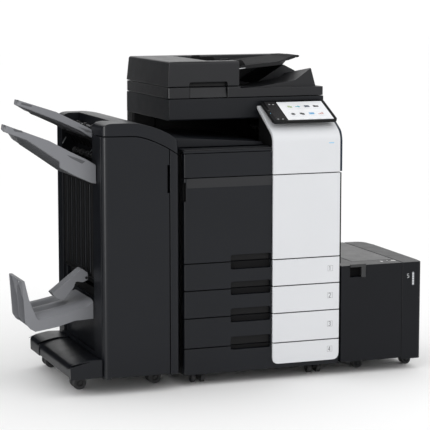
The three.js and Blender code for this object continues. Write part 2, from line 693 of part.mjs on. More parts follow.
function lctBody() {
  const { left, split, front, back, floor, top } = LCT;
  const box = block(left, split - 1, front, back, floor, top);
  const basePlate = prism('z', floor, floor + 6, [
    [split - 2, front + 12], [947, front + 12, 6], [954, 40, 4], [954, 508, 20], [split - 2, 508],
  ]);
  const lidSeat = block(LCT_LID.left - 2, split, LCT_LID.front - 2, back + PAST,
    top - LCT_LID.thickness - GAP, top + PAST);
  const deck = top - LCT_LID.thickness - 3;
  const store = block(left + 16, split - 14, 60, back - 24, floor + 16, deck);
  const mouth = block(LCT_LID.left + 12, split - 14, LCT_LID.front + 10, back - 24, deck - PAST, top);
  const pocket = block(654, 717, front - PAST, 10, 371, 409);
  const ears = LCT_WHEELS.flatMap(({ x, y }) => lctEars(x, y));
  return piece('lct_body',
    cutAll(joinAll([box, basePlate, ...ears]), [lidSeat, store, mouth, pocket]), CHARCOAL);
}

function lctLid() {
  const { split, back, top } = LCT;
  const { left, front, thickness } = LCT_LID;
  return piece('lct_lid', prism('z', top - thickness, top, [
    [left, front], [split - 2, front], [split - 2, back, 4], [left, back, 4],
  ]), MID_GREY);
}

function lctEndCover() {
  const { split, front, floor, skirt, top } = LCT;
  const outer = prism('z', skirt, top, [
    [split, front], [950, front, 14], [957, 40], [963, 430, 20], [962, 532, 60], [split, 532],
  ], 6);
  const overPlate = block(split - PAST, 955, front + 8, 512, skirt - PAST, floor + 6 + GAP);
  const inside = block(split + 6, 940, front + 20, 500, floor, top - 20);
  return piece('lct_end_cover', cutAll(outer, [overPlate, inside]), CHARCOAL);
}

function lctLever() {
  const cap = block(652, 716, -22, LCT.front - GAP, 410, 421);
  const body = block(698, 715, -21, LCT.front - GAP, 370, 411);
  const root = block(700, 713, -16, 4, 375, 404);
  return piece('lct_release_lever', joinAll([cap, body, root]), MID_GREY);
}

function lctLiftPlate() {
  const rest = LCT.floor + 17;
  return piece('lct_lift_plate',
    block(LCT.left + 20, LCT.split - 18, 66, LCT.back - 30, rest, rest + 6), STEEL);
}

function lctWheels() {
  const { radius, width, axle, ear } = LCT_WHEEL;
  const half = width / 2;
  const stub = half + 1 + ear;
  const profile = [
    [0, -stub], [axle, -stub], [axle, -half], [radius - 3, -half], [radius, 3 - half],
    [radius, half - 3], [radius - 3, half], [axle, half], [axle, stub], [0, stub],
  ];
  return LCT_WHEELS.map(({ name, x, y }) => {
    const wheel = piece(`lct_wheel_${name}`, turned(profile), TYRE);
    wheel.position.set(x, y, radius);
    wheel.rotation.z = ROLLS_SIDEWAYS;
    return wheel;
  });
}

// ---------------------------------------------------------------- assembly

function assembly(...parts) {
  const group = new THREE.Group();
  group.add(...parts.flat());
  return group;
}

const mainUnit = assembly(
  mainFrame(), rearCover(), rightDoor(), upperFrontCover(), whiteUpperCover(), frontDoor(), drawers(),
  outputTray(), relayUnit(), tonerCartridges(), mainCasters(),
);
const scannerAndFeeder = assembly(
  scannerUnit(), adfBase(), feedCover(), documentTray(),
  guide('adf_guide_front', 236, 244), guide('adf_guide_rear', 552, 560), controlPanel(),
);
const finisher = assembly(
  finisherFrame(), finisherTopCover(), finisherDoor(), upperTray(), lowerTray(), finisherBase(), bookletTray(),
  bookletFlap(), finisherCasters(),
);
const largeCapacityFeeder = assembly(
  lctBody(), lctLid(), lctEndCover(), lctLever(), lctLiftPlate(), lctWheels(),
);
const machine = assembly(mainUnit, scannerAndFeeder, finisher, largeCapacityFeeder);

machine.updateMatrixWorld(true);
const bounds = new THREE.Box3().setFromObject(machine, true);
machine.position.set(-(bounds.min.x + bounds.max.x) / 2, -(bounds.min.y + bounds.max.y) / 2, -bounds.min.z);

export default assembly(machine);
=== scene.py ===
import json
import math

import bmesh
import bpy
from mathutils import Matrix, Vector


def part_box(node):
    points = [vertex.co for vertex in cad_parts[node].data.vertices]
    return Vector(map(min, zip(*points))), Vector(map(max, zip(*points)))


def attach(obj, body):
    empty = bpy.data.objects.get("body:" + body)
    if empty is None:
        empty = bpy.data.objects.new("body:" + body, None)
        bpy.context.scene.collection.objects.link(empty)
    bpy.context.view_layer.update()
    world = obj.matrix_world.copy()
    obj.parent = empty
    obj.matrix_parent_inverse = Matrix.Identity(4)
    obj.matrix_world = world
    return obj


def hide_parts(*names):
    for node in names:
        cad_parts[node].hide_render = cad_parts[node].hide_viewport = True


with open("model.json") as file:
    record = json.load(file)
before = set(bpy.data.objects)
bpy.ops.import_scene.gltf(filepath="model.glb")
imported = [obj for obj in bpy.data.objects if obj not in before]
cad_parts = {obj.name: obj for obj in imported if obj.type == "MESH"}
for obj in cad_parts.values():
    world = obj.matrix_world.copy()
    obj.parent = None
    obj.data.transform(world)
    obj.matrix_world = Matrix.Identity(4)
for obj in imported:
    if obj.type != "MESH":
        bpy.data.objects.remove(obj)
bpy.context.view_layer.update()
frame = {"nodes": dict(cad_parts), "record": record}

# ---------------- the working frame
# Millimetres, as a person would measure the machine: X to the right from the main unit's left
# side, Y to the back from its front covers, Z up from the floor.

MM = 0.001
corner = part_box("upper_front_cover")[0]
ORIGIN = Vector((corner.x, corner.y, 0.0))
TO_FRAME = Matrix.Translation(ORIGIN) @ Matrix.Scale(MM, 4)
FROM_FRAME = TO_FRAME.inverted()


def extent(node):
    """Lowest and highest corner of a CAD node in working millimetres, to a tenth."""
    return [[round(value, 1) for value in FROM_FRAME @ corner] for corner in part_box(node)]


def top_of(node):
    return extent(node)[1][2]


# ---------------- materials


class Nodes:
    """A short way to wire a procedural material."""

    def __init__(self, name):
        self.material = bpy.data.materials.new(name)
        self.material.use_nodes = True
        self.tree = self.material.node_tree
        self.shader = self.tree.nodes["Principled BSDF"]
        self.place = self.add("ShaderNodeTexCoord").outputs["Object"]

    def add(self, kind):
        return self.tree.nodes.new(kind)

    def link(self, source, target):
        self.tree.links.new(source, target)

    def noise(self, scale, detail=2.0, stretch=None):
        source = self.place
        if stretch:
            mapping = self.add("ShaderNodeMapping")
            mapping.inputs["Scale"].default_value = stretch
            self.link(source, mapping.inputs["Vector"])
            source = mapping.outputs["Vector"]
        noise = self.add("ShaderNodeTexNoise")
        noise.inputs["Scale"].default_value = scale
        noise.inputs["Detail"].default_value = detail
        self.link(source, noise.inputs["Vector"])
        return noise.outputs["Fac"]

    def between(self, factor, low, high):
        """Maps a 0..1 factor to low..high."""
        mapped = self.add("ShaderNodeMapRange")
        mapped.inputs["To Min"].default_value = low
        mapped.inputs["To Max"].default_value = high
        self.link(factor, mapped.inputs["Value"])
        return mapped.outputs["Result"]

    def ramp(self, factor, stops):
        """Colours a 0..1 factor between two stops (position, colour)."""
        node = self.add("ShaderNodeValToRGB")
        for element, (position, colour) in zip(node.color_ramp.elements, stops):
            element.position = position
            element.color = (*colour, 1.0)
        self.link(factor, node.inputs["Fac"])
        return node.outputs["Color"]

    def bump(self, height, strength, distance):
        bump = self.add("ShaderNodeBump")
        bump.inputs["Strength"].default_value = strength
        bump.inputs["Distance"].default_value = distance
        self.link(height, bump.inputs["Height"])
        self.link(bump.outputs["Normal"], self.shader.inputs["Normal"])


def shade(colour, factor):
    """A colour made darker or lighter."""
    return tuple(min(1.0, channel * factor) for channel in colour)


def moulded(name, colour, roughness=0.5, grain=0.35, vary=0.07, specular=0.4):
    """Injection-moulded plastic: fine spark grain, faint unevenness in colour and gloss."""
    nodes = Nodes(name)
    cloud = nodes.noise(4.0, 3.0)
    tint = nodes.ramp(cloud, [(0.3, shade(colour, 1 - vary)), (0.7, shade(colour, 1 + vary))])
    nodes.link(tint, nodes.shader.inputs["Base Color"])
    rubbed = nodes.noise(23.0, 4.0)
    nodes.link(nodes.between(rubbed, roughness - 0.07, roughness + 0.07), nodes.shader.inputs["Roughness"])
    nodes.shader.inputs["Specular IOR Level"].default_value = specular
    nodes.bump(nodes.noise(1400.0, 1.0), grain, 0.0002)
    return nodes.material


def brushed(name, colour):
    """Rolled sheet metal with fine drawn lines."""
    nodes = Nodes(name)
    lines = nodes.noise(900.0, 2.0, stretch=(1.0, 0.04, 1.0))
    tint = nodes.ramp(lines, [(0.3, shade(colour, 0.9)), (0.7, shade(colour, 1.05))])
    nodes.link(tint, nodes.shader.inputs["Base Color"])
    nodes.link(nodes.between(lines, 0.26, 0.40), nodes.shader.inputs["Roughness"])
    nodes.shader.inputs["Metallic"].default_value = 1.0
    nodes.bump(lines, 0.15, 0.0001)
    return nodes.material


def rubber(name, colour):
    """Hard tread rubber, dusty where it rolls."""
    nodes = Nodes(name)
    dust = nodes.noise(60.0, 5.0)
    tint = nodes.ramp(dust, [(0.45, colour), (0.8, shade(colour, 2.2))])
    nodes.link(tint, nodes.shader.inputs["Base Color"])
    nodes.link(nodes.between(dust, 0.6, 0.85), nodes.shader.inputs["Roughness"])
    nodes.bump(nodes.noise(700.0, 2.0), 0.4, 0.0003)
    return nodes.material


def glass(name):
    """Document glass over the dark scanning space."""
    nodes = Nodes(name)
    haze = nodes.noise(30.0, 3.0)
    tint = nodes.ramp(haze, [(0.3, (0.045, 0.06, 0.06)), (0.7, (0.06, 0.075, 0.075))])
    nodes.link(tint, nodes.shader.inputs["Base Color"])
    nodes.link(nodes.between(haze, 0.04, 0.1), nodes.shader.inputs["Roughness"])
    nodes.shader.inputs["Coat Weight"].default_value = 1.0
    nodes.shader.inputs["Coat Roughness"].default_value = 0.02
    return nodes.material


def lit(name, colour, strength):
    """A lit area of the touch screen, a little uneven like a diffused backlight."""
    nodes = Nodes(name)
    cloud = nodes.noise(9.0, 1.0)
    tint = nodes.ramp(cloud, [(0.3, shade(colour, 0.97)), (0.7, colour)])
    nodes.link(tint, nodes.shader.inputs["Base Color"])
    nodes.link(tint, nodes.shader.inputs["Emission Color"])
    nodes.shader.inputs["Emission Strength"].default_value = strength
    nodes.shader.inputs["Roughness"].default_value = 0.2
    return nodes.material


CHARCOAL = moulded("charcoal_plastic", (0.0056, 0.0066, 0.0092), 0.38, specular=0.23)
FEEDER_CHARCOAL = moulded("side_feeder_charcoal_plastic", (0.0042, 0.0048, 0.0068), 0.38, specular=0.18)
BLACK = moulded("black_plastic", (0.006, 0.006, 0.0065), 0.4, specular=0.15)
# Dark inner plastic, and also painted shade: the dark strips in seams, slots, finger pockets, grip ends and
# screw heads.
INNER_BLACK_AND_SHADE = moulded("inner_black_and_painted_shade", (0.005, 0.005, 0.0055), 0.7, specular=0.1)
WHITE = moulded("white_plastic", (0.66, 0.67, 0.69), 0.4, grain=0.12, vary=0.012, specular=0.4)
TRAY = moulded("tray_grey_plastic", (0.188, 0.192, 0.206), 0.5, vary=0.05)
LID_GREY = moulded("dark_grey_plastic", (0.024, 0.0245, 0.026), 0.38)
STEEL = brushed("plate_steel", (0.62, 0.63, 0.64))
TYRE = rubber("tyre_rubber", (0.016, 0.016, 0.017))
HUB = moulded("caster_hub_plastic", (0.012, 0.012, 0.0125), 0.4)
DOCUMENT_GLASS = glass("document_glass")
SCREEN = lit("screen_panel", (0.72, 0.73, 0.75), 0.12)
PAD = moulded("pressing_pad_foam", (0.78, 0.78, 0.77), 0.8, grain=0.6, vary=0.03)
# A darker copy of the tray grey: painted shade under the finisher's trays and in the hollows of their rims.
TRAY_SHADE = moulded("tray_grey_painted_shade", (0.10, 0.102, 0.108), 0.6, specular=0.15)
TRAY_BLACK = moulded("document_tray_plastic", (0.022, 0.022, 0.023), 0.75, specular=0.06)
# A lighter copy of the charcoal: painted light on the document feeder's covers, its grip face and its output
# ribs.
LIT_FEEDER_CHARCOAL = moulded("feeder_charcoal_painted_light", (0.013, 0.0135, 0.0155), 0.38, specular=0.28)
TRIM_NAVY = moulded("navy_trim", (0.004, 0.012, 0.028), 0.3, specular=0.3)
INNER_GREY = moulded("inner_cover_grey", (0.11, 0.112, 0.118), 0.55)
LEVER_GREEN = moulded("lever_green", (0.02, 0.22, 0.09), 0.45)
NUMERAL_GREY = moulded("numeral_grey", (0.40, 0.405, 0.415), 0.5, grain=0.05)
PRINT_WHITE = moulded("printed_white", (0.80, 0.80, 0.80), 0.5, grain=0.05)
# A lighter grey for the right cheek of the side feeder's pocket: painted highlight.
CHEEK_HIGHLIGHT_GREY = moulded("pocket_cheek_painted_highlight", (0.055, 0.056, 0.06), 0.4)
WINDOW_GREY = moulded("level_window_grey", (0.30, 0.31, 0.33), 0.3, grain=0.05)
NUMERAL_DARK = moulded("numeral_dark", (0.22, 0.225, 0.235), 0.5, grain=0.05)
# A lighter copy of the charcoal: painted highlight on the door's top band and on the output floor's lip.
HIGHLIGHT_CHARCOAL = moulded("charcoal_painted_highlight", (0.0165, 0.017, 0.019), 0.36, specular=0.3)
PRINT_GREY = moulded("printed_grey", (0.42, 0.43, 0.44), 0.5, grain=0.05)
PRINT_PALE = moulded("printed_pale", (0.66, 0.67, 0.68), 0.5, grain=0.05)
DOT_GREY = moulded("key_dot_grey", (0.035, 0.035, 0.037), 0.5, grain=0.05)
LAMP_BLUE = lit("lamp_blue", (0.16, 0.42, 0.62), 0.35)
PANEL_GLASS = moulded("panel_glass", (0.003, 0.003, 0.0035), 0.25, grain=0.0, specular=0.04)
KEY_FIELD = moulded("key_field_film", (0.010, 0.0095, 0.0105), 0.5, grain=0.05, specular=0.1)
TONERS = {
    "yellow": moulded("toner_yellow", (0.70, 0.48, 0.02), 0.45),
    "magenta": moulded("toner_magenta", (0.42, 0.03, 0.14), 0.45),
    "cyan": moulded("toner_cyan", (0.02, 0.22, 0.45), 0.45),
    "black": moulded("toner_black", (0.015, 0.015, 0.017), 0.4),
}

MATERIAL_OF_SLOT = {
    "charcoal_plastic": CHARCOAL, "black_plastic": BLACK, "white_plastic": WHITE, "tray_grey_plastic": TRAY,
    "dark_grey_plastic": LID_GREY, "plate_steel": STEEL, "document_glass": DOCUMENT_GLASS,
    **{f"toner_{colour}": material for colour, material in TONERS.items()},
}

# ---------------- mesh work

SHARP = math.radians(28)      # faces that meet at more than this have an edge to round
SMOOTH = math.radians(42)     # faces that meet at less than this are shaded as one


def rounded(corners, steps=5):
    """Outline points from corners (u, v) or (u, v, round)."""
    points = []
    for index, corner in enumerate(corners):
        here = Vector(corner[:2])
        reach = corner[2] if len(corner) > 2 else 0
        if not reach:
            points.append(here)
            continue
        before = Vector(corners[index - 1][:2])
        after = Vector(corners[(index + 1) % len(corners)][:2])
        start = here + (before - here).normalized() * reach
        end = here + (after - here).normalized() * reach
        for step in range(steps + 1):
            t = step / steps
            points.append(start * (1 - t) ** 2 + here * 2 * t * (1 - t) + end * t ** 2)
    return points


def placed(axis, u, v, w):
    """The point (u, v) of an outline, at w along its axis."""
    return {"x": (w, u, v), "y": (u, w, v), "z": (u, v, w)}[axis]


def prism(mesh, axis, low, high, corners, steps=5):
    """Adds a closed extrusion of an outline: (y, z) along x, (x, z) along y, (x, y) along z."""
    ring = rounded(corners, steps)
    ends = [[mesh.verts.new(placed(axis, u, v, w)) for u, v in ring] for w in (low, high)]
    for end in ends:
        mesh.faces.new(end)
    count = len(ring)
    for index in range(count):
        after = (index + 1) % count
        mesh.faces.new((ends[0][index], ends[0][after], ends[1][after], ends[1][index]))
    return mesh


def rectangle(u0, u1, v0, v1, corner_round=0):
    return [(u, v, corner_round) for u, v in ((u0, v0), (u1, v0), (u1, v1), (u0, v1))]


def block(mesh, x0, x1, y0, y1, z0, z1, corner_round=0):
    """Adds a box. Its edges along Y can be round."""
    return prism(mesh, "y", y0, y1, rectangle(x0, x1, z0, z1, corner_round))


def lathe(mesh, axis, centre, profile, sides=32):
    """Adds a closed turned form. The profile is (radius, distance along the axis)."""
    rings = []
    for radius, along in profile:
        if radius == 0:
            rings.append([mesh.verts.new(placed(axis, centre[0], centre[1], along))])
            continue
        rings.append([
            mesh.verts.new(placed(
                axis,
                centre[0] + radius * math.cos(2 * math.pi * side / sides),
                centre[1] + radius * math.sin(2 * math.pi * side / sides),
                along,
            ))
            for side in range(sides)
        ])
    for lower, upper in zip(rings, rings[1:]):
        for side in range(sides):
            after = (side + 1) % sides
            quad = [lower[side % len(lower)], lower[after % len(lower)],
                    upper[after % len(upper)], upper[side % len(upper)]]
            mesh.faces.new(list(dict.fromkeys(quad)))
    return mesh


def rod(mesh, axis, centre, radius, low, high, sides=16):
    return lathe(mesh, axis, centre, [(0, low), (radius, low), (radius, high), (0, high)], sides)


def sharp_edges(mesh):
    return [edge for edge in mesh.edges
            if len(edge.link_faces) == 2 and edge.calc_face_angle(0.0) > SHARP]


def gap_between(edge, other):
    """Least distance from a few points of an edge to another edge."""
    a, b = (vert.co for vert in other.verts)
    run = b - a
    length = run.length_squared or 1e-12
    found = 1e9
    for part in (0.0, 0.25, 0.5, 0.75, 1.0):
        point = edge.verts[0].co.lerp(edge.verts[1].co, part)
        along = max(0.0, min(1.0, (point - a).dot(run) / length))
        found = min(found, (point - a - run * along).length)
    return found


def room_beside(edge, sharp):
    """How wide a rounding may be at this edge before it meets the next one."""
    room = 1e9
    for face in edge.link_faces:
        for other in face.edges:
            if other is edge:
                continue
            shared = [vert for vert in edge.verts if vert in other.verts]
            if not shared:
                room = min(room, gap_between(edge, other) / 2.2)
            elif other in sharp:
                near = shared[0]
                run, next_run = (line.other_vert(near).co - near.co for line in (edge, other))
                turn = run.angle(next_run, 0)
                if turn < math.radians(150):
                    room = min(room, other.calc_length() / 2.2)
    return room


def weigh(mesh, width):
    """Stores how much of the full rounding each edge gets."""
    layers = mesh.edges.layers.float
    layer = layers.get("bevel_weight_edge") or layers.new("bevel_weight_edge")
    sharp = set(sharp_edges(mesh))
    for edge in mesh.edges:
        edge[layer] = min(1.0, room_beside(edge, sharp) / width) if edge in sharp else 0.0


def made(name, mesh, material, body, slot=None, soft=1.0, segments=2, replaces=(), merge=True):
    """Turns collected forms, in millimetres, into a piece that rides on a body."""
    if merge:
        bmesh.ops.remove_doubles(mesh, verts=mesh.verts, dist=0.01)
    bmesh.ops.recalc_face_normals(mesh, faces=mesh.faces)
    if soft:
        weigh(mesh, soft)
    mesh.transform(TO_FRAME)
    data = bpy.data.meshes.new(name)
    mesh.to_mesh(data)
    mesh.free()
    data.materials.append(material)
    data.polygons.foreach_set("use_smooth", [True] * len(data.polygons))
    data.set_sharp_from_angle(angle=SMOOTH)
    piece = bpy.data.objects.new(name, data)
    bpy.context.scene.collection.objects.link(piece)
    if soft:
        bevel = piece.modifiers.new("rounding", "BEVEL")
        bevel.limit_method = "WEIGHT"
        bevel.width = soft * MM
        bevel.segments = segments
        bevel.use_clamp_overlap = False
    normals = piece.modifiers.new("normals", "WEIGHTED_NORMAL")
    normals.keep_sharp = True
    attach(piece, body)
    if replaces:
        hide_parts(*replaces)


def boxes(name, material, body, soft, *bounds, **how):
    """A piece of boxes, each (x0, x1, y0, y1, z0, z1) and perhaps a corner round."""
    mesh = bmesh.new()
    for bound in bounds:
        block(mesh, *bound)
    made(name, mesh, material, body, soft=soft, **how)


def prisms(name, material, body, soft, axis, *forms, **how):
    """A piece of prisms along one axis, each (low, high, corners) and perhaps the steps of a round."""
    mesh = bmesh.new()
    for form in forms:
        prism(mesh, axis, *form)
    made(name, mesh, material, body, soft=soft, **how)


def spread(low, high, count):
    return [low + (high - low) * step / (count - 1) for step in range(count)]


def along(line, x):
    """Height of a broken line [(x, z), ...] at x."""
    for (x0, z0), (x1, z1) in zip(line, line[1:]):
        if x <= x1:
            return z0 + (z1 - z0) * max(0.0, (x - x0) / (x1 - x0))
    return line[-1][1]


def curve(points, steps):
    """Points of a Bezier curve through its control points."""
    line = []
    for step in range(steps + 1):
        t = step / steps
        left = [Vector(point) for point in points]
        while len(left) > 1:
            left = [a.lerp(b, t) for a, b in zip(left, left[1:])]
        line.append(tuple(left[0]))
    return line


def sheet(mesh, us, vs, top, bottom):
    """Adds a closed shell between two surfaces given as (u, v) -> point."""
    grids = [[[mesh.verts.new(surface(u, v)) for v in vs] for u in us] for surface in (top, bottom)]
    for grid in grids:
        for left, right in zip(grid, grid[1:]):
            for index in range(len(vs) - 1):
                mesh.faces.new((left[index], right[index], right[index + 1], left[index + 1]))
    rims = [[*grid[0], *(row[-1] for row in grid[1:]), *grid[-1][-2::-1], *(row[0] for row in grid[-2:0:-1])]
            for grid in grids]
    count = len(rims[0])
    for index in range(count):
        after = (index + 1) % count
        mesh.faces.new((rims[0][index], rims[0][after], rims[1][after], rims[1][index]))
    return mesh


def strips(name, material, body, soft, xs, ys, half, height, over, under):
    """A piece of thin strips along X that follow a height, one at each y."""
    mesh = bmesh.new()
    for y in ys:
        sheet(mesh, xs(y), [y - half, y + half], lambda x, v: (x, v, height(x) + over),
              lambda x, v: (x, v, height(x) - under))
    made(name, mesh, material, body, soft=soft)


# ---------------- the CAD nodes, refined

FLAT = math.radians(0.6)      # faces that meet at less than this are joined
SLOT_OF_NODE = {row["node"]: row["material_slot"] for row in frame["record"]["subparts"]}
BODY_OF_NODE = {
    node: body for body, nodes in frame["record"]["behaviour"]["bodies"].items() for node in nodes
}


def refined(node, soft, material):
    """Stands for a CAD node: the same form with joined faces and rounded edges."""
    mesh = bmesh.new()
    mesh.from_mesh(frame["nodes"][node].data)
    mesh.transform(FROM_FRAME)
    bmesh.ops.remove_doubles(mesh, verts=mesh.verts, dist=0.02)
    bmesh.ops.dissolve_limit(
        mesh, angle_limit=FLAT, verts=mesh.verts, edges=mesh.edges, delimit=set())
    slot = SLOT_OF_NODE[node]
    made(f"{node}_skin", mesh, material or MATERIAL_OF_SLOT[slot], BODY_OF_NODE[node], slot,
         soft=soft, replaces=[node], merge=False)


SOFTNESS = {
    "main_frame": 0.8, "adf_base": 2.5, "finisher_frame": 1.0, "white_upper_cover": 2.0,
    "control_panel": 2.5, "adf_feed_cover": 3.0, "scanner_unit": 5.0, "finisher_front_door": 2.0,
    "rear_cover": 2.5, "finisher_upper_tray": 2.0, "finisher_lower_tray": 2.0,
    "adf_document_tray": 2.0, "lct_lid": 1.5, "lct_end_cover": 7.0,
}
USUAL_SOFTNESS = 1.4
# The feeder's covers take the lighter charcoal copy, which is painted light.
TONED = {"adf_feed_cover": LIT_FEEDER_CHARCOAL, "adf_base": LIT_FEEDER_CHARCOAL, "adf_document_tray": TRAY_BLACK,
         "lct_body": FEEDER_CHARCOAL, "lct_end_cover": FEEDER_CHARCOAL}
REBUILT = {"touch_screen", "booklet_tray", "booklet_flap", "finisher_base", "finisher_top_cover"}
REBUILT.update(node for node in frame["nodes"] if "_caster_" in node or "lct_wheel" in node)

for node_name in frame["nodes"]:
    if node_name not in REBUILT:
        refined(node_name, SOFTNESS.get(node_name, USUAL_SOFTNESS), TONED.get(node_name))

# ---------------- control panel

PANEL_PLACE = Matrix.Translation((0, 8, 964)) @ Matrix.Rotation(math.radians(25), 4, "X")
(PANEL_LEFT, *_), (PANEL_RIGHT, *_) = extent("control_panel")
SCREEN_X = [corner[0] for corner in extent("touch_screen")]
SCREEN_V = (5, 139)
SCREEN_W = -0.2               # the screen lies this far under the panel's face


def on_panel(name, mesh, material, slot=None, **how):
    """A piece drawn in the panel's own frame: x, v up the slope, w out of its face."""
    bmesh.ops.transform(mesh, matrix=PANEL_PLACE, verts=mesh.verts)
    made(name, mesh, material, "control_panel", slot, **how)


def plate(mesh, x0, x1, v0, v1, w0, w1, corner_round=0):
    return prism(mesh, "z", w0, w1, rectangle(x0, x1, v0, v1, corner_round), 3)


def gear_outline():
    points = []
    for tooth in range(8):
        for turn, radius in ((-0.3, 6.51), (-0.2, 9.66), (0.2, 9.66), (0.3, 6.51)):
            angle = (tooth + turn) * math.pi / 4
            points.append((radius * math.cos(angle), radius * math.sin(angle)))
    return points


ICON = 21                     # width of a pictogram
OUTLINES = {
    "arrow": [[(1.2, -7.875), (10.5, 0), (1.2, 7.875)]],
    "envelope": [[(-10.5, -6.3), (10.5, -6.3), (10.5, 1), (0, -2.625), (-10.5, 1)],
                 [(-10.5, 2.2), (0, -1.6), (10.5, 2.2), (10.5, 7.35), (-10.5, 7.35)]],
    "folder": [[(-10.5, -6.3, 1), (10.5, -6.3, 1), (10.5, 4.725, 1), (0, 4.725), (-1.5, 7.35),
                (-10.5, 7.35, 1)]],
    "gear": [gear_outline()],
}


def picture(mesh, kind, x, v, w):
    """A plain pictogram: sheets, an arrow, an envelope, a gear, a folder or bars."""
    half = ICON / 2
    low, high = w, w + 0.15
    if kind == "sheets":
        for shift in (-0.16, 0.16):
            lift = shift * 0.3 + 0.1
            plate(mesh, x + ICON * (shift - 0.26), x + ICON * (shift + 0.26), v - half * (0.6 + shift),
                  v + half * (0.6 - shift), low + lift, high + lift, 1)
    if kind == "arrow":
        plate(mesh, x - half, x + 1, v - 2.5, v + 2.5, low, high, 1)
    if kind == "bars":
        for index in range(3):
            left = x - half + index * ICON * 0.36
            foot = v - half * 0.7
            plate(mesh, left, left + ICON * 0.26, foot, foot + ICON * (0.3 + 0.2 * index), low, high)
    for outline in OUTLINES.get(kind, ()):
        prism(mesh, "z", low, high, [(x + du, v + dv, *more) for du, dv, *more in outline])


ICON_ROWS = [
    (102, [(101, "sheets", "green"), (133, "arrow", "cyan"), (170, "envelope", "navy"),
           (206, "folder", "slate")]),
    (48, [(95, "gear", "slate"), (131, "sheets", "slate"), (169, "envelope", "blue"), (205, "bars", "red")]),
]
ICON_COLOURS = {
    "green": (0.36, 0.46, 0.26), "cyan": (0.12, 0.42, 0.50), "navy": (0.008, 0.035, 0.075),
    "slate": (0.02, 0.022, 0.026), "blue": (0.06, 0.30, 0.55), "red": (0.50, 0.27, 0.24),
}
ICON_INK = {word: lit(f"icon_{word}", colour, 0.03) for word, colour in ICON_COLOURS.items()}
SCREEN_LINE = lit("screen_line", (0.52, 0.55, 0.58), 0.05)


def touch_screen():
    """The lit face, its icons with a fine frame and a caption each, and lines above and below them."""
    face = plate(bmesh.new(), *SCREEN_X, *SCREEN_V, -2.2, SCREEN_W)
    on_panel("touch_screen_face", face, SCREEN, "screen_panel", soft=0.2, replaces=["touch_screen"])
    drawn = {word: bmesh.new() for word in ICON_INK}
    lines = bmesh.new()
    for v, row in ICON_ROWS:
        for u, kind, word in row:
            x = PANEL_LEFT + u
            picture(drawn[word], kind, x, v, SCREEN_W)
            plate(lines, x - 10, x + 10, v - 16.5, v - 15, SCREEN_W, -0.1)
            for side in (x - 14.5, x + 14.5):
                plate(lines, side - 0.2, side + 0.2, v - 20, v + 13, SCREEN_W, -0.12)
            for edge in (v - 20, v + 13):
                plate(lines, x - 14.5, x + 14.5, edge - 0.2, edge + 0.2, SCREEN_W, -0.12)
    left, right = SCREEN_X
    plate(lines, left + 6, right - 6, 130, 130.5, SCREEN_W, -0.1)
    plate(lines, left + 8, left + 40, 133, 135.5, SCREEN_W, -0.1, 1)
    plate(lines, left + 6, right - 6, 14, 14.5, SCREEN_W, -0.1)
    for x in spread(left + 14, left + 150, 5):
        plate(lines, x, x + 16, 8, 10.5, SCREEN_W, -0.1, 1)
    for word, mesh in drawn.items():
        on_panel(f"screen_icons_{word}", mesh, ICON_INK[word], soft=0)
    on_panel("screen_lines", lines, SCREEN_LINE, soft=0)


def panel_keys():
    """Touch field left of the screen: a fine dot pattern, two pairs of marks and a round sensor."""
    dots = bmesh.new()
    for row in range(24):
        for column in range(9):
            x = PANEL_LEFT + 15 + 4.7 * column + (row % 2) * 1.2
            v = 22 + 4.2 * row
            lathe(dots, "z", (x, v), [(0, -0.1), (0.95, -0.1), (0.95, 0.12), (0, 0.15)], 6)
    on_panel("key_field_dots", dots, DOT_GREY, soft=0)
    marks = bmesh.new()
    for u, v in ((27, 124), (42, 122), (23, 14), (41, 13)):
        x = PANEL_LEFT + u
        plate(marks, x - 4, x + 4, v - 1.2, v + 1.2, -0.1, 0.15, 1)
        plate(marks, x - 1.2, x + 1.2, v - 3, v + 3, -0.1, 0.12, 1)
    on_panel("key_field_marks", marks, PRINT_GREY, soft=0)
    profile = [(0, -0.2), (4.2, -0.2), (4.2, 0.5), (3.2, 0.8), (2.8, 0.2), (0, 0.2)]
    on_panel("panel_sensor", lathe(bmesh.new(), "z", (PANEL_LEFT + 8, 78), profile, 24), HUB, soft=0)
    profile = [(0, -0.2), (1.6, -0.2), (1.6, 0.4), (0, 0.6)]
    on_panel("panel_lamp", lathe(bmesh.new(), "z", (PANEL_LEFT + 8, 58), profile, 16), LAMP_BLUE, soft=0)


def panel_shell():
    """The front glass around the screen, the film over the keys and the ribs under the panel."""
    border = bmesh.new()
    left, right = SCREEN_X[0] - 0.5, SCREEN_X[1] + 0.5
    for sides in ((PANEL_LEFT + 2.5, left, 2.5, 148.5), (right, PANEL_RIGHT - 2.5, 2.5, 148.5),
                  (left, right, 2.5, SCREEN_V[0] - 0.5), (left, right, SCREEN_V[1] + 0.5, 148.5)):
        plate(border, *sides, -0.3, 0.05)
    on_panel("panel_glass_border", border, PANEL_GLASS, soft=0)
    film = plate(bmesh.new(), PANEL_LEFT + 13, SCREEN_X[0] - 4, 8, 143, 0.0, 0.09, 3)
    on_panel("key_field_film", film, KEY_FIELD, soft=0)
    ribs = bmesh.new()
    for x in spread(PANEL_LEFT + 22, PANEL_LEFT + 232, 8):
        plate(ribs, x, x + 2, 14, 96, -14.5, -12.9, 0.8)
    on_panel("panel_underside_ribs", ribs, BLACK, soft=0.4)


touch_screen()
panel_keys()
panel_shell()

# ---------------- casters and wheels


def tyre_profile(radius, low, high, edge=3.5):
    """Cross-section of one tyre with round shoulders, from the axle out and back, (radius, along)."""
    shoulder = [(radius - edge + edge * math.sin(angle), edge - edge * math.cos(angle))
                for angle in (0, math.pi / 6, math.pi / 3, math.pi / 2)]
    near = [(r, low + shift) for r, shift in shoulder]
    far = [(r, high - shift) for r, shift in reversed(shoulder)]
    core = radius * 0.62
    return [(core, low + 0.5), *near, *far, (core, high - 0.5), (core, low + 0.5)]


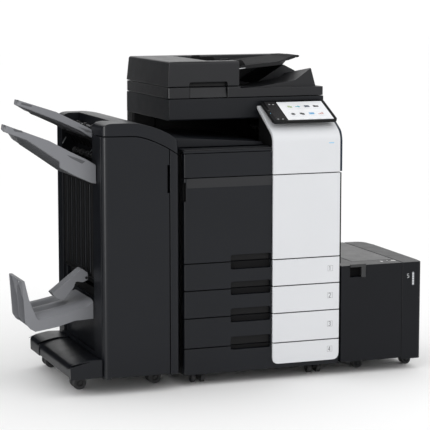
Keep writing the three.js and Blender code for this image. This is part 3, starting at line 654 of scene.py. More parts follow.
def hub_profile(radius, low, high, outward):
    """A hub disc with a dished face towards the outside."""
    edge, dish, cap = radius * 0.63, radius * 0.5, radius * 0.2
    face, back = (high, low) if outward > 0 else (low, high)
    step = math.copysign(1.0, outward)
    return [(0, back), (edge, back), (edge, face - step), (dish, face - step), (dish - 1.5, face - 4 * step),
            (cap + 1, face - 4 * step), (cap, face - step * 0.3), (0, face - step * 0.3)]


AXLES = {joint["child"]: joint for joint in frame["record"]["behaviour"]["joints"]}


def at_axle(node):
    """Where a wheel stands: its axle's centre and direction become the origin and the X axis."""
    joint = AXLES[BODY_OF_NODE[node]]
    turn = math.atan2(joint["axis"][1], joint["axis"][0])
    return Matrix.Translation(FROM_FRAME @ Vector(joint["pos_m"])) @ Matrix.Rotation(turn, 4, "Z")


def wheel_part(name, mesh, material, node, place, slot=None, soft=0.0):
    bmesh.ops.transform(mesh, matrix=place, verts=mesh.verts)
    made(name, mesh, material, BODY_OF_NODE[node], slot, soft=soft, replaces=[node])


def twin_caster(prefix, wheel, plate_top=None):
    """Two tyres with their hubs, and the swivelling leg with its plate when there is one."""
    radius, inner, outer, axle = wheel
    node = f"{prefix}_wheels"
    place = at_axle(node)
    tyres = bmesh.new()
    hubs = bmesh.new()
    for side in (-1, 1):
        low, high = sorted((side * inner, side * outer))
        lathe(tyres, "x", (0, 0), tyre_profile(radius, low, high), 40)
        lathe(hubs, "x", (0, 0), hub_profile(radius, low, high, side), 40)
    rod(hubs, "x", (0, 0), axle, -inner, inner, 20)
    wheel_part(f"{node}_tyres", tyres, TYRE, node, place, "tyre_rubber")
    wheel_part(f"{node}_hubs", hubs, HUB, node, place)
    if plate_top:
        caster_leg(f"{prefix}_leg", wheel, plate_top - radius, place)


def caster_leg(node, wheel, top, place):
    """The web that holds the axle behind the swivel, and the turntable on top of it."""
    radius, inner, _, axle = wheel
    web = inner - 2
    eye = axle + 5
    back = -TRAIL - 13
    leg = bmesh.new()
    prism(leg, "x", -web, web, [
        (back, top - 4, 3), (back, radius - 6, 5), (-eye, -eye * 0.5, 6), (0, -eye, 5), (eye, 0, 6),
        (eye - 2, eye + 6, 8), (4, top - 4, 3)], 6)
    turntable = [(0, top - 5), (12, top - 5), (16.5, top - 3), (16.5, top - 0.5), (0, top - 0.5)]
    lathe(leg, "z", (0, -TRAIL), turntable, 32)
    wheel_part(f"{node}_shell", leg, BLACK, node, place, "black_plastic", soft=0.8)


# A twin wheel's radius, its tyres' inner and outer side, and the radius of its axle.
MAIN_WHEEL = (19, 10, 27, 4.5)
FIN_WHEEL = (25, 10, 28, 5)
TRAIL = 18                    # from the swivel to the axle

for side in ("left", "right"):
    twin_caster(f"main_caster_front_{side}", MAIN_WHEEL, 44)
    twin_caster(f"main_caster_rear_{side}", MAIN_WHEEL)
    twin_caster(f"finisher_caster_front_{side}", FIN_WHEEL, 64 if side == "left" else 60)
    twin_caster(f"finisher_caster_rear_{side}", FIN_WHEEL)


def feeder_wheel(node):
    """A broad single wheel with a stub axle on each side."""
    radius, half = 19, 18
    place = at_axle(node)
    tyre = lathe(bmesh.new(), "x", (0, 0), tyre_profile(radius, -half, half, 3), 40)
    wheel_part(f"{node}_tyre", tyre, TYRE, node, place, "tyre_rubber")
    core, stub = radius * 0.63, half + 4
    side = [(0, stub), (3.5, stub), (3.5, half), (7, half), (7, half - 3), (core, half - 1)]
    profile = [(r, -shift) for r, shift in side] + side[::-1]
    hub = lathe(bmesh.new(), "x", (0, 0), profile, 32)
    wheel_part(f"{node}_hub", hub, HUB, node, place)


for place in ("front_left", "front_right", "rear_left", "rear_right"):
    feeder_wheel(f"lct_wheel_{place}")

# ---------------- booklet tray and foot


def swell(value, low, high):
    """Smooth 0..1..0 hump between two values."""
    if not low < value < high:
        return 0.0
    return math.sin(math.pi * (value - low) / (high - low)) ** 2


def step_up(value, start, end):
    """Smooth 0..1 step between two values."""
    t = max(0.0, min(1.0, (value - start) / (end - start)))
    return t * t * (3 - 2 * t)


(FIN_LEFT, FIN_FRONT, _), (FIN_RIGHT, FIN_BACK, _) = extent("finisher_frame")
BOOKLET_RIGHT = -313.3               # where the booklet tray meets the finisher's left side
BOOKLET_FLOOR = [(-535, 290), (-515, 291), (-450, 302), (-400, 312), (-350, 322), (-314, 329)]
BOOKLET_UNDER = [(-560, 252), (-545, 237), (-530, 227), (-480, 234), (-443, 240), (-383, 257), (-314, 260)]
BOOKLET_RIM = [(-552, 256), (-500, 268), (-401, 291), (-337, 305), (-314, 322)]
BOOKLET_STOP = [(-576, 411, 3), (-567, 411, 3), (-552, 347), (-540, 315, 6), (-532, 296, 4)]


def booklet_top(x, y):
    """Tray floor: a rounded near shoulder, two long channels that run out towards the finisher."""
    floor = along(BOOKLET_FLOOR, x)
    rim = along(BOOKLET_RIM, x)
    shoulder = rim + (floor - rim) * math.sqrt(step_up(y, 97, 132))
    reach = 1 - step_up(x, -440, -372)
    near = 1.0 - swell(y, 136, 206) * reach
    far = 1.0 - swell(y, 222, 300) * reach
    fall = 22 + 14 * (1 - step_up(x, -520, -440))
    return shoulder - fall * (1 - near * far) - 10 * step_up(y, 325, 350)


def booklet_under(x, y):
    """Tray underside, at least 3 mm below its floor."""
    return min(booklet_top(x, y) - 3, along(BOOKLET_UNDER, x) + 18 * step_up(y, 100, 140))


def booklet_tray():
    """The channelled floor and the end wall, which is a leaning board between two cheeks."""
    mesh = sheet(bmesh.new(), spread(-534, BOOKLET_RIGHT, 40), spread(97, 350, 52),
                 lambda x, y: (x, y, booklet_top(x, y)), lambda x, y: (x, y, booklet_under(x, y)))
    made("booklet_tray_floor", mesh, TRAY, "finisher", "tray_grey_plastic", soft=0, replaces=["booklet_tray"])
    rim = [(x, z + 1) for x, z in BOOKLET_RIM[1:-1]]
    under = BOOKLET_UNDER[::-1]
    near_cheek = [*BOOKLET_STOP, (-522, 270, 8), *rim, (BOOKLET_RIGHT, 322), *under[:-2], (-550, 239, 5),
                  (-566, 262, 6)]
    far_cheek = [*BOOKLET_STOP, (-522, 286), (-517, 240, 4), (-529, 229, 3), (-552, 241, 5), (-566, 262, 6)]
    board = [(-569.5, 411), (-566.5, 411), (-551, 347), (-533, 296, 8), (-528, 284), (-532, 284),
             (-538, 296, 8), (-555, 347)]
    below_hole = [(-564.5, 392), (-561.5, 392), *board[2:]]
    above_hole = [*board[:2], (-564.5, 403), (-567.5, 403)]
    cap = [(-577, 411.5), (-566, 412), (-566, 408), (-577, 407)]
    foot = [(-548, 241), (-529, 229), (-527, 231), (-547, 244)]
    web = [(-573, 380, 6), (-566, 388), (-555, 347), (-538, 296, 6), (-530, 284), (-530, 240), (-550, 244, 4),
           (-564, 266, 4)]
    prisms("booklet_tray_stop", TRAY, "finisher", 0.8, "y",
           (95, 100, near_cheek, 4), (284, 291, far_cheek, 4), (100, 190, board, 4), (208, 284, board, 4),
           (190, 208, below_hole, 4), (190, 208, above_hole), (100, 284, cap), (100, 284, foot),
           (196.5, 199, web, 3), slot="tray_grey_plastic", replaces=["booklet_tray"])


def booklet_flap():
    """The hinged hold-down: a broad blade with turned-down sides."""
    side = [(-452, 351, 3), (-437, 334, 3), (-408, 324, 8), (-370, 369, 4), (-362, 391, 4), (-336, 386, 3),
            (-317, 394, 3), (-317, 420, 4), (-338, 436, 5)]
    blade = [(-450, 353, 3), (-338, 436, 5), (-317, 420, 4), (-317, 415), (-338, 430, 5), (-445, 350)]
    tip = [(-449, 352, 1), (-443, 353), (-433, 340), (-437, 336, 2)]
    ribs = [[(x - 1, z), (x + 1, z + 1.5), (x + 5, z - 22), (x + 3, z - 23)]
            for x, z in ((-410, 377), (-375, 402))]
    prisms("booklet_flap_blade", TRAY, "booklet_flap", 0.9, "y", (150, 154, side, 4), (202, 206, side, 4),
           (154, 202, blade, 4), (154, 202, tip), *((154, 202, rib) for rib in ribs),
           slot="tray_grey_plastic", replaces=["booklet_flap"])
    pin = bmesh.new()
    lathe(pin, "y", (-323, 402), [(0, 146.5), (4, 146.5), (5, 147.5), (5, 210), (0, 210)], 20)
    prism(pin, "y", 156, 176, [(-372, 392, 3), (-350, 386, 3), (-352, 374, 3), (-374, 380, 3)])
    made("booklet_flap_pivot", pin, BLACK, "booklet_flap", soft=0.5)


def finisher_foot():
    """Low foot under the trays: two end caps with a slightly sunken, rounded middle."""
    end = [(-433, 66, 3), (-434, 113, 12), (-413, 124, 14), (-361, 133, 14), (-313.5, 131), (-313.5, 66)]
    middle = [(-431, 68, 3), (-431, 108, 16), (-400, 120, 20), (-355, 128, 16), (-313.5, 127), (-313.5, 68)]
    leg = [(-379, 66), (-375, 22, 4), (-365, 14, 4), (-355, 22, 4), (-351, 66)]
    prisms("finisher_foot_caps", CHARCOAL, "finisher", 5, "y", (-20, 8, end, 8), (420, 548, end, 8),
           (6, 422, middle, 10), slot="charcoal_plastic", segments=4, replaces=["finisher_base"], merge=False)
    prisms("finisher_foot_rear_leg", BLACK, "finisher", 0.8, "y", (512, 528, leg, 4),
           replaces=["finisher_base"])
    boxes("finisher_foot_pan", INNER_BLACK_AND_SHADE, "finisher", 0.8, (-424, -320, 20, 520, 63.5, 69, 1))


booklet_tray()
booklet_flap()
finisher_foot()

# ---------------- finisher's hood and trays

HOOD_TOP = [
    *curve([(-312, 952), (-311, 975), (-276, 976)], 8),
    *curve([(-215, 976), (-160, 974), (-110, 958), (-62, 932)], 20),
    *curve([(-62, 932), (-36, 917), (-25, 900)], 6)[1:],
]
HOOD_SEAM = [(-312, 932), *curve([(-192, 930), (-150, 925), (-115, 907), (-81, 891)], 16), (-25, 857)]
NOTCH_X = -243                # right end of the notch above the upper tray
NOTCH_Y = (102, 498)


def corner_depth(distance, radius):
    """How far a rounded corner stands back at a distance from the side it rounds into."""
    return radius * (1 - math.sqrt(min(1.0, max(0.0, distance) / radius))) ** 2


def finisher_hood():
    """The top cover: a falling curve with rounded corners and the notch above the upper tray."""
    def front(x):
        return FIN_FRONT + corner_depth(x - FIN_LEFT, 24) + corner_depth(FIN_RIGHT - x, 30)

    def back(x):
        return FIN_BACK - corner_depth(x - FIN_LEFT, 12) - corner_depth(FIN_RIGHT - x, 12)

    def notch_front(x):
        return NOTCH_Y[0]

    def notch_back(x):
        return NOTCH_Y[1]

    by_the_corners = {-311, -309, -306, -302, -30, -27}
    columns = sorted({x for x, _ in HOOD_TOP} | set(spread(-270, -215, 6)) | by_the_corners | {NOTCH_X})
    beside_notch = [x for x in columns if x >= NOTCH_X]
    mesh = bmesh.new()
    for start, end, xs in ((front, notch_front, columns), (notch_front, notch_back, beside_notch),
                           (notch_back, back, columns)):
        def spot(line, x, v):
            return x, start(x) + (end(x) - start(x)) * v, along(line, x)
        sheet(mesh, xs, spread(0, 1, 5), lambda x, v: spot(HOOD_TOP, x, v),
              lambda x, v: spot(HOOD_SEAM, x, v))
    made("finisher_hood", mesh, CHARCOAL, "finisher", "charcoal_plastic", soft=1.6, segments=3,
         replaces=["finisher_top_cover"])


LOWER_UNDER = [(-650, 960), (-626, 945), (-562, 921), (-447, 842), (-342, 768), (-316, 760)]
UPPER_UNDER = [(-588, 1041), (-538, 1022), (-429, 978), (-356, 944), (-314, 919)]
LOWER_FLOOR = [(-520, 921), (-410, 866), (-345, 834), (-316, 818)]
UPPER_FLOOR = [(-470, 1010), (-385, 974), (-320, 940), (-290, 926)]


def tray_details(name, body, under, floor, y0, y1, tip_back):
    """An underside skin with stiffening ribs, painted darker as shade under the tray, and low paper ribs on
    the tray floor.
    """
    start = under[0][0]
    end = under[-1][0]

    def spot(drop):
        def place(t, y):
            left = start + (tip_back - start) * (y - y0) / (y1 - y0) + 6
            x = left + (end - left) * t
            return x, y, along(under, x) - drop
        return place

    skin = sheet(bmesh.new(), spread(0, 1, 14), spread(y0 + 14, y1 - 10, 6), spot(-0.8), spot(0.6))
    made(f"{name}_underside", skin, TRAY_SHADE, body, soft=0)
    tips = [(y0, start + 40), (y1, tip_back + 30)]
    strips(f"{name}_underside_ribs", TRAY_SHADE, body, 0, lambda y: spread(along(tips, y), end - 6, 9),
           spread(y0 + 60, y1 - 60, 5), 1.2, lambda x: along(under, x), 1, 6)
    strips(f"{name}_rails", TRAY, body, 0.8, lambda y: spread(floor[0][0] + 12, floor[-1][0] - 2, 10),
           spread(y0 + 70, y1 - 70, 4), 3, lambda x: along(floor, x), 2.2, 1)


def tray_recess_shades():
    """Finger recess near each tip and the long notch near the finisher, on the near rims, drawn as darker
    inlays of painted shade.
    """
    lower_tip = [(-613, 963, 2), (-581, 955, 2), (-579, 948, 2), (-609, 954, 2)]
    lower_notch = [(-421, 865, 2), (-381, 851, 2), (-353, 839, 2), (-365, 831, 3), (-405, 852, 3)]
    prisms("finisher_lower_tray_marks", TRAY_SHADE, "finisher_lower_tray", 0, "y",
           (43.6, 44.4, lower_tip), (43.6, 44.4, lower_notch))
    upper_tip = [(-566, 1048, 2), (-528, 1038, 2), (-530, 1032, 2), (-567, 1042, 2)]
    upper_notch = [(-362, 959, 2), (-321, 943, 2), (-309, 934, 2), (-330, 937, 3)]
    prisms("finisher_upper_tray_marks", TRAY_SHADE, "finisher", 0, "y",
           (105.6, 106.4, upper_tip), (105.6, 106.4, upper_notch))


finisher_hood()
tray_details("finisher_lower_tray", "finisher_lower_tray", LOWER_UNDER, LOWER_FLOOR, 44, 496, -508)
tray_details("finisher_upper_tray", "finisher", UPPER_UNDER, UPPER_FLOOR, 106, 494, -462)
tray_recess_shades()

# ---------------- finisher's exit, side and inside


def slanted_bar(mesh, start, end, radius):
    """Adds a round bar between two points."""
    run = Vector(end) - Vector(start)
    before = len(mesh.verts)
    rod(mesh, "z", (0, 0), radius, 0, run.length, 12)
    turn = run.to_track_quat("Z", "Y").to_matrix().to_4x4()
    bmesh.ops.transform(mesh, matrix=Matrix.Translation(start) @ turn, verts=list(mesh.verts)[before:])


def rollers(name, body, centre, shaft_ends, places, radius, width):
    """A steel shaft along Y with rubber rollers on it."""
    shaft = rod(bmesh.new(), "y", centre, 3, *shaft_ends)
    made(f"{name}_shaft", shaft, STEEL, body, soft=0)
    tyres = bmesh.new()
    for y in places:
        low, high = y - width / 2, y + width / 2
        lathe(tyres, "y", centre, [(3, low), (radius - 1, low), (radius, low + 1), (radius, high - 1),
                                   (radius - 1, high), (3, high), (3, low)], 24)
    made(f"{name}_tyres", tyres, TYRE, body, soft=0)


def finisher_exit():
    """Two slanted bright bars, the rollers of both exits and the guides between them."""
    bars = bmesh.new()
    slanted_bar(bars, (-310, 452, 888), (-310, 497, 862), 2.2)
    slanted_bar(bars, (-310, 104, 874), (-310, 158, 849), 2.2)
    made("finisher_exit_bars", bars, STEEL, "finisher", soft=0)
    rollers("finisher_upper_exit", "finisher", (-262, 941), (101, 499), spread(150, 450, 4), 9, 22)
    rollers("finisher_lower_exit", "finisher", (-268, 838), (101, 499), spread(140, 460, 5), 12, 26)
    guide = [(-298, 902), (-256, 902), (-256, 872, 6), (-276, 866, 6)]
    prisms("finisher_exit_guides", BLACK, "finisher", 0.8, "y",
           (100.5, 499.5, rectangle(-300, -252, 902, 912, 2)),
           *((y - 2, y + 2, guide) for y in spread(130, 470, 8)))


def finisher_side():
    """Back plate of the tray lift's guideway, so that its ribs stand only a little proud."""
    ribs = [(-306, -304.5, y - 1, y + 1, 404, 752) for y in (128, 188, 248, 308, 368, 428, 478)]
    boxes("finisher_lift_guide", BLACK, "finisher", 0.6, (-305, -299.3, 90.5, 499.5, 402, 756.5), *ribs,
          (-308, -299.3, 236, 354, 420, 428, 2), (-308, -299.3, 92, 498, 402, 408, 2))
    prisms("finisher_corner_foot", CHARCOAL, "finisher_door", 0.8, "z",
           (60.5, 88, [(-312.8, -31.6, 24), (-286, -31.6, 1), (-286, -6, 1), (-312.8, -6, 1)]))


def finisher_inside():
    """What shows behind the finisher's front door: stapler unit, knobs and guide plates."""
    boxes("booklet_exit_guides", INNER_BLACK_AND_SHADE, "finisher", 0.3, (-287, -284, 104, 496, 326, 360),
          (-287, -284, 104, 496, 374, 406))
    boxes("stapler_unit", BLACK, "finisher", 1.5, (-270, -110, 20, 420, 480, 640, 4),
          (-250, -130, 10, 21, 510, 600, 6), (-270, -90, 30, 440, 180, 330, 4))
    boxes("finisher_inner_covers", INNER_GREY, "finisher", 0.6, (-286, -74, 6, 8, 660, 738, 3),
          (-286, -74, 6, 8, 102, 160, 3))
    knobs = bmesh.new()
    for x, z, radius in ((-220, 430, 16), (-140, 400, 12), (-150, 695, 13)):
        lathe(knobs, "y", (x, z), [(0, -1), (radius - 2, -1), (radius, 1), (radius, 9), (radius - 3, 12),
                                   (4, 12), (4, 30), (0, 30)], 28)
    block(knobs, -232, -160, 1, 10, 548, 562, 4)
    made("finisher_inner_knobs", knobs, LEVER_GREEN, "finisher", soft=0.8)
    shafts = bmesh.new()
    for centre in ((-220, 430), (-140, 400), (-180, 360)):
        rod(shafts, "y", centre, 4, 28, 500)
    made("finisher_inner_shafts", shafts, STEEL, "finisher", soft=0)


finisher_exit()
finisher_side()
finisher_inside()

# ---------------- main unit's front and right side

PALE_FACE = extent("front_door_white_panel")[0][1]    # the dark covers' front is at 0
PRINT = (PALE_FACE - 0.15, PALE_FACE + 0.1)           # from and to, for what is printed on them
NUMERALS = {
    "1": [(0.4, 3.2), (1, 4), (1, 0)],
    "2": [(0, 3.2), (0.5, 4), (1.5, 4), (2, 3.2), (2, 2.6), (0, 0), (2, 0)],
    "3": [(0, 3.4), (0.6, 4), (1.5, 4), (2, 3.4), (2, 2.6), (1.1, 2.1), (2, 1.5), (2, 0.6), (1.5, 0),
          (0.6, 0), (0, 0.6)],
    "4": [(2, 1.2), (0, 1.2), (1.5, 4), (1.5, 0)],
}
NUMERAL_Z = {"1": 410, "2": 308, "3": 200, "4": 104}


def printed(name, material, body, points, y0, y1, width):
    """A printed line through points (x, z)."""
    strokes = []
    for start, end in zip(points, points[1:]):
        a, b = Vector(start), Vector(end)
        side = (b - a).normalized().orthogonal() * width / 2
        strokes.append((y0, y1, [a + side, b + side, b - side, a - side]))
    prisms(name, material, body, 0, "y", *strokes)


def drawer_fronts():
    """A numeral in a fine frame on the pale panel of each drawer."""
    for digit, z in NUMERAL_Z.items():
        body = f"drawer_{digit}"
        line = [(570 + 3.8 * u, z - 8 + 4 * v) for u, v in NUMERALS[digit]]
        printed(f"{body}_numeral", NUMERAL_DARK, body, line, *PRINT, 2.6)
        depth = (PALE_FACE - 0.12, PALE_FACE + 0.1)
        uprights = [(x, x + 1.6, *depth, z - 11, z + 11) for x in (564.5, 584)]
        bars = [(566.1, 584, *depth, low, low + 1.4) for low in (z - 11, z + 9.6)]
        boxes(f"{body}_numeral_frame", NUMERAL_GREY, body, 0, *uprights, *bars)


def grip_shade_strips():
    """Painted shade at the backs of the finger pockets: one dark strip on each cover that a pocket crosses.
    """
    covers = ["drawer_4", "drawer_3", "drawer_2", "drawer_1", "front_door"]
    reaches = [(15, 33), (24, 28), (24, 25), (29, 25)]
    for below, above, (reach_down, reach_up) in zip(covers, covers[1:], reaches):
        seam = top_of(below) + 1.5
        boxes(f"{below}_grip_shade_lower", INNER_BLACK_AND_SHADE, below, 0.3,
              (183.5, 338.5, 14.6, 15.8, seam - reach_down + 1, seam - 2, 3))
        boxes(f"{above}_grip_shade_upper", BLACK, above, 0.3,
              (183.5, 338.5, 14.6, 15.8, seam + 2, seam + reach_up - 1, 3))


def seam_shade_lines():
    """Painted shade in the seams: black strips along the top of each front, which make the seams read as
    deep.
    """
    depth = (PALE_FACE - 0.15, PALE_FACE + 0.4)
    for body in ("drawer_4", "drawer_3", "drawer_2", "drawer_1"):
        z = top_of(body) + 0.5
        boxes(f"{body}_front_seam_shade", INNER_BLACK_AND_SHADE, body, 0, (348.5, 611, *depth, z - 1.4, z),
              (6, 341, -0.15, 0.4, z - 0.9, z))
    boxes("neck_lower_seam_shade", INNER_BLACK_AND_SHADE, "main_unit", 0, (348.5, 611, *depth, 768.2, 769.6))


def front_trims():
    """The door's top band painted paler as a highlight, painted shade in its finger slot, the lamp on the
    neck, and the output floor's lip painted paler as a highlight.
    """
    prisms("front_door_top_highlight", HIGHLIGHT_CHARCOAL, "front_door", 0, "x",
           (12.5, 343, [(-0.1, 731.5), (0.6, 731), (0.6, 765.5), (-0.3, 765.5)]))
    boxes("front_door_slot_shade", INNER_BLACK_AND_SHADE, "front_door", 0, (8.2, 9.6, 1, 13, 685, 751),
          (-0.1, 9, 11.2, 12.8, 685, 751))
    boxes("power_lamp", LAMP_BLUE, "main_unit", 0, (566, 586, -8.4, -7.8, 877.6, 880.2, 1))
    prisms("output_tray_lip", HIGHLIGHT_CHARCOAL, "main_unit", 0.4, "x",
           (4, 342, [(3, 866.5), (8, 866.5), (40, 870.8), (40, 872), (3, 868.6)]))


def right_edge():
    """Dark trim that frames the pale column on its right."""
    neck = [(-5, 772), (-5, 880), *curve([(-5, 884), (-2, 918), (20, 930)], 8), (62, 955), (62, 943),
            (26, 920), *curve([(24, 916), (8, 906), (8, 884)], 8), (8, 772)]
    prisms("neck_side_trim", TRIM_NAVY, "main_unit", 0.8, "x", (612.4, 621.5, neck))
    boxes("column_side_trim", BLACK, "main_unit", 0.6, (615.3, 618.4, 1, 22, 60, 766),
          (615.3, 621.5, 1, 22, 424, 766))


def louvre(low, high, face, z, height, lip=2.3):
    """A slat that stands out of a face by its lip and slopes back up to it, for a prism along X or Y."""
    return low, high, [(face, z), (face + lip, z + 1), (face + lip, z + 3), (face, z + height)]


drawer_fronts()
grip_shade_strips()
seam_shade_lines()
front_trims()
right_edge()
prisms("right_flank_vents", BLACK, "main_unit", 0.3, "y",
       *(louvre(240, 420, 614.5, 864 + 9 * row, 5, 2.1) for row in range(9)))


def drawer_insides():
    """Lift plate, side guides and end stop of every drawer."""
    for body, floor_z in (("drawer_1", 370), ("drawer_2", 268), ("drawer_3", 157), ("drawer_4", 59)):
        top = top_of(body) - 17.5
        boxes(f"{body}_lift_plate", STEEL, body, 0.3, (60, 560, 60, 500, floor_z + 4, floor_z + 5.5))
        guides = bmesh.new()
        for y0, y1, foot in ((90, 96, (90, 102)), (462, 468, (456, 468))):
            block(guides, 250, 420, y0, y1, floor_z + 6, top, 5)
            block(guides, 300, 370, *foot, floor_z + 6, floor_z + 9, 1)
            for x in (268, 334, 400):
                block(guides, x, x + 4, y0 - 2.4, y1 + 2.4, floor_z + 8, top - 6, 1)
        prism(guides, "z", floor_z + 6, top - 6, [(140, 250, 3), (146, 250), (146, 320, 3), (140, 320, 3)])
        made(f"{body}_paper_guides", guides, INNER_GREY, body, soft=0.6)
        boxes(f"{body}_friction_pad", TYRE, body, 0.3,
              (520, 552, 240, 300, floor_z + 5.5, floor_z + 7.5, 0.8))


def toner_bay():
    """Inner covers behind the front door, and a pull tab and a colour mark for every cartridge."""
    places = [sum(corner[0] for corner in extent(f"toner_cartridge_{colour}")) / 2 for colour in TONERS]
    tabs = []
    for x in places:
        tabs += [(x - 14, x + 14, 29.5, 34, 632, 644, 3), (x - 10, x + 10, 30.5, 34, 654, 668, 3)]
    boxes("toner_pull_tabs", INNER_GREY, "main_unit", 0.6, *tabs)
    for x, (colour, material) in zip(places, TONERS.items()):
        boxes(f"toner_mark_{colour}", material, "main_unit", 0.4, (x - 12, x + 12, 26.2, 28.2, 578, 592, 3))
    boxes("inner_front_cover", INNER_GREY, "main_unit", 0.8, (24, 252, 26, 28.2, 480, 752, 6),
          (262, 588, 26, 28.2, 480, 572, 6))
    boxes("inner_levers", LEVER_GREEN, "main_unit", 0.5, (70, 92, 24.6, 26.2, 560, 640, 5),
          (300, 380, 24.6, 26.2, 512, 528, 5))


def paper_exit():
    """Rollers and a hinged strip in the exit slot under the scanner, and ribs on the output floor."""
    rollers("main_exit", "main_unit", (476, 900), (205, 555), spread(240, 520, 5), 9, 20)
    flap = [(470, 918), (478, 914), (474, 904), (471, 906)]
    prisms("main_exit_flap", BLACK, "main_unit", 0.3, "y", (206, 554, flap))
    floor_rib = [(30, 871.8), (330, 871.8), (326, 874), (34, 874)]
    prisms("output_tray_ribs", CHARCOAL, "main_unit", 0.4, "y",
           *((y - 2, y + 2, floor_rib) for y in spread(90, 520, 9)))
    relay_rib = [(-14, 907.6), (54, 903.8), (54, 905.2), (-14, 909)]
    prisms("relay_ribs", CHARCOAL, "main_unit", 0.4, "y",
           *((y - 6, y + 6, relay_rib) for y in spread(110, 500, 8)))


drawer_insides()
toner_bay()
paper_exit()

# ---------------- scanner and document feeder

GLASS_TOP = top_of("platen_glass")
BED = GLASS_TOP - 0.2         # what lies on the bed starts just under its face
FEEDER_TOP = top_of("adf_base")


def tray_height(x):
    return 1142 + (x - 172) * 0.085


def scanning_bed():
    """The slit for fed originals, the size scales, and the carriage under the glass."""
    boxes("slit_glass", DOCUMENT_GLASS, "main_unit", 0, (96, 120, 212, 588, BED, GLASS_TOP + 0.3))
    boxes("slit_glass_frame", STEEL, "main_unit", 0.2,
          *((x, x + 4, 208, 592, BED, GLASS_TOP + 0.6) for x in (92, 120)))
    scale_top = GLASS_TOP + 0.5
    boxes("original_scales", PRINT_PALE, "main_unit", 0.2, (128, 146, 206, 594, BED, scale_top),
          (146, 566, 190, 206, BED, scale_top))
    ticks = []
    for index in range(38):
        length = 9 if index % 5 == 0 else 5
        x, y = 160 + 10.5 * index, 212 + 10 * index
        ticks += [(x, x + 0.8, 206 - length, 206, scale_top, scale_top + 0.15),
                  (146 - length, 146, y, y + 0.8, scale_top, scale_top + 0.15)]
    boxes("original_scale_ticks", BLACK, "main_unit", 0, *ticks)
    boxes("scan_carriage", BLACK, "main_unit", 1, (190, 232, 190, 610, 980, 1016, 3))
    boxes("scan_lamp", PRINT_PALE, "main_unit", 0, (196, 202, 215, 585, 1016, 1018, 0.5))
    boxes("feeder_hinges", BLACK, "main_unit", 0.6,
          *((x, x + 46, 670.2, 672.6, 990, 1038, 3) for x in (70, 520)))


def feeder_underside():
    """The white pad that presses originals, the strip over the slit glass and the rubber feet."""
    boxes("original_pressing_pad", PAD, "document_feeder", 1.2, (142, 568, 192, 598, 1044, 1048.8, 1))
    boxes("reading_guide_strip", PRINT_PALE, "document_feeder", 0.2, (97, 119, 214, 586, 1042.6, 1043.4))
    bumpers = bmesh.new()
    for centre in ((40, 182), (40, 630), (592, 182), (592, 630)):
        lathe(bumpers, "z", centre, [(0, 1041.4), (4, 1041.4), (5, 1042.4), (5, 1043.6), (0, 1043.6)], 20)
    made("lid_bumpers", bumpers, TYRE, "document_feeder", soft=0)


def feeder_grips():
    """The sloping faces inside the finger grip, below and above the cover seam, and its dark ends: the upper
    face is black as painted shade, the lower one takes the feeder's lighter charcoal as painted light, and
    the ends are dark strips of painted shade.
    """
    lower = [(164.5, 1044), (169, 1060), (174, 1081), (179, 1081), (179, 1044)]
    upper = [(174.5, 1086), (178, 1099), (179.5, 1099), (179.5, 1086)]
    prisms("feeder_grip_face", LIT_FEEDER_CHARCOAL, "document_feeder", 1, "x", (83, 228, lower))
    prisms("feeder_grip_upper_shade", BLACK, "feed_cover", 0.6, "x", (83, 228, upper))
    for body, z0, z1 in (("document_feeder", 1045, 1080), ("feed_cover", 1087, 1096)):
        boxes(f"{body}_grip_end_shade", INNER_BLACK_AND_SHADE, body, 0, *((x, x + 1.6, 161.7, 163, z0, z1) for x in (80.2, 229.2)))


def feeder_cover_details():
    """Seams on the feed cover, drawn as dark strips of painted shade, and its ribs, rollers and paper bed
    that show when it is open.
    """
    boxes("feed_cover_seam_shade", INNER_BLACK_AND_SHADE, "feed_cover", 0, (14, 158, 161.2, 162.4, 1176.6, 1177.4),
          (160, 276, 204.6, 205.8, FEEDER_TOP - 3, FEEDER_TOP + 0.3))
    boxes("feed_cover_inner_ribs", BLACK, "feed_cover", 0.4,
          *((11, 150, y - 1, y + 1, 1150, 1167.5) for y in spread(200, 626, 12)))
    for word, x, z, radius in (("pick", 132, 1136, 11), ("feed", 92, 1122, 12), ("turn", 40, 1112, 16)):
        rollers(f"original_{word}", "document_feeder", (x, z), (215, 605), (350, 398, 446), radius, 30)
    bed = [(20, 1083), (150, 1083), (150, 1119), (120, 1110, 8), (70, 1098, 8), (20, 1096)]
    prisms("original_feed_bed", INNER_GREY, "document_feeder", 1, "y", (200, 620, bed))
    prisms("document_stop_tab", PRINT_PALE, "document_tray", 0.3, "y",
           (207, 240, [(292, 1144.5), (318, 1147), (318, 1149), (292, 1147)]))


def document_tray_details():
    """The near rim and the curl at the tip, guide slots drawn as dark strips of painted shade, and the feet
    of the two paper guides.
    """
    def rim(drop):
        return lambda x, y: (x, y + max(0, x - 452) * 1.5, tray_height(x) - drop)

    near = sheet(bmesh.new(), spread(300, 560, 14), [208, 213], rim(-3.5), rim(2))
    made("document_tray_near_rim", near, TRAY_BLACK, "document_tray", soft=0.6)
    curl = [(575, 1171), (596, 1174), (608, 1175, 3), (613, 1180, 3), (606, 1184, 3), (590, 1180),
            (575, 1178)]
    prisms("document_tray_curl", TRAY_BLACK, "document_tray", 0.6, "y", (386, 500, curl))
    strips("document_tray_slot_shade", INNER_BLACK_AND_SHADE, "document_tray", 0, lambda y: spread(210, 430, 8),
           (262, 300, 500, 538), 1.5, tray_height, 0.4, 1)
    for body, y, span in (("guide_front", 240, (240, 274)), ("guide_rear", 556, (522, 556))):
        foot = sheet(bmesh.new(), spread(196, 322, 6), span, lambda x, v: (x, v, tray_height(x) + 2.2),
                     lambda x, v: (x, v, tray_height(x) + 0.6))
        block(foot, 230, 262, y - 5.5, y + 5.5, tray_height(246) + 22, tray_height(246) + 33, 3)
        made(f"{body}_foot", foot, BLACK, body, soft=0.4)


scanning_bed()
feeder_underside()
feeder_grips()
feeder_cover_details()
document_tray_details()
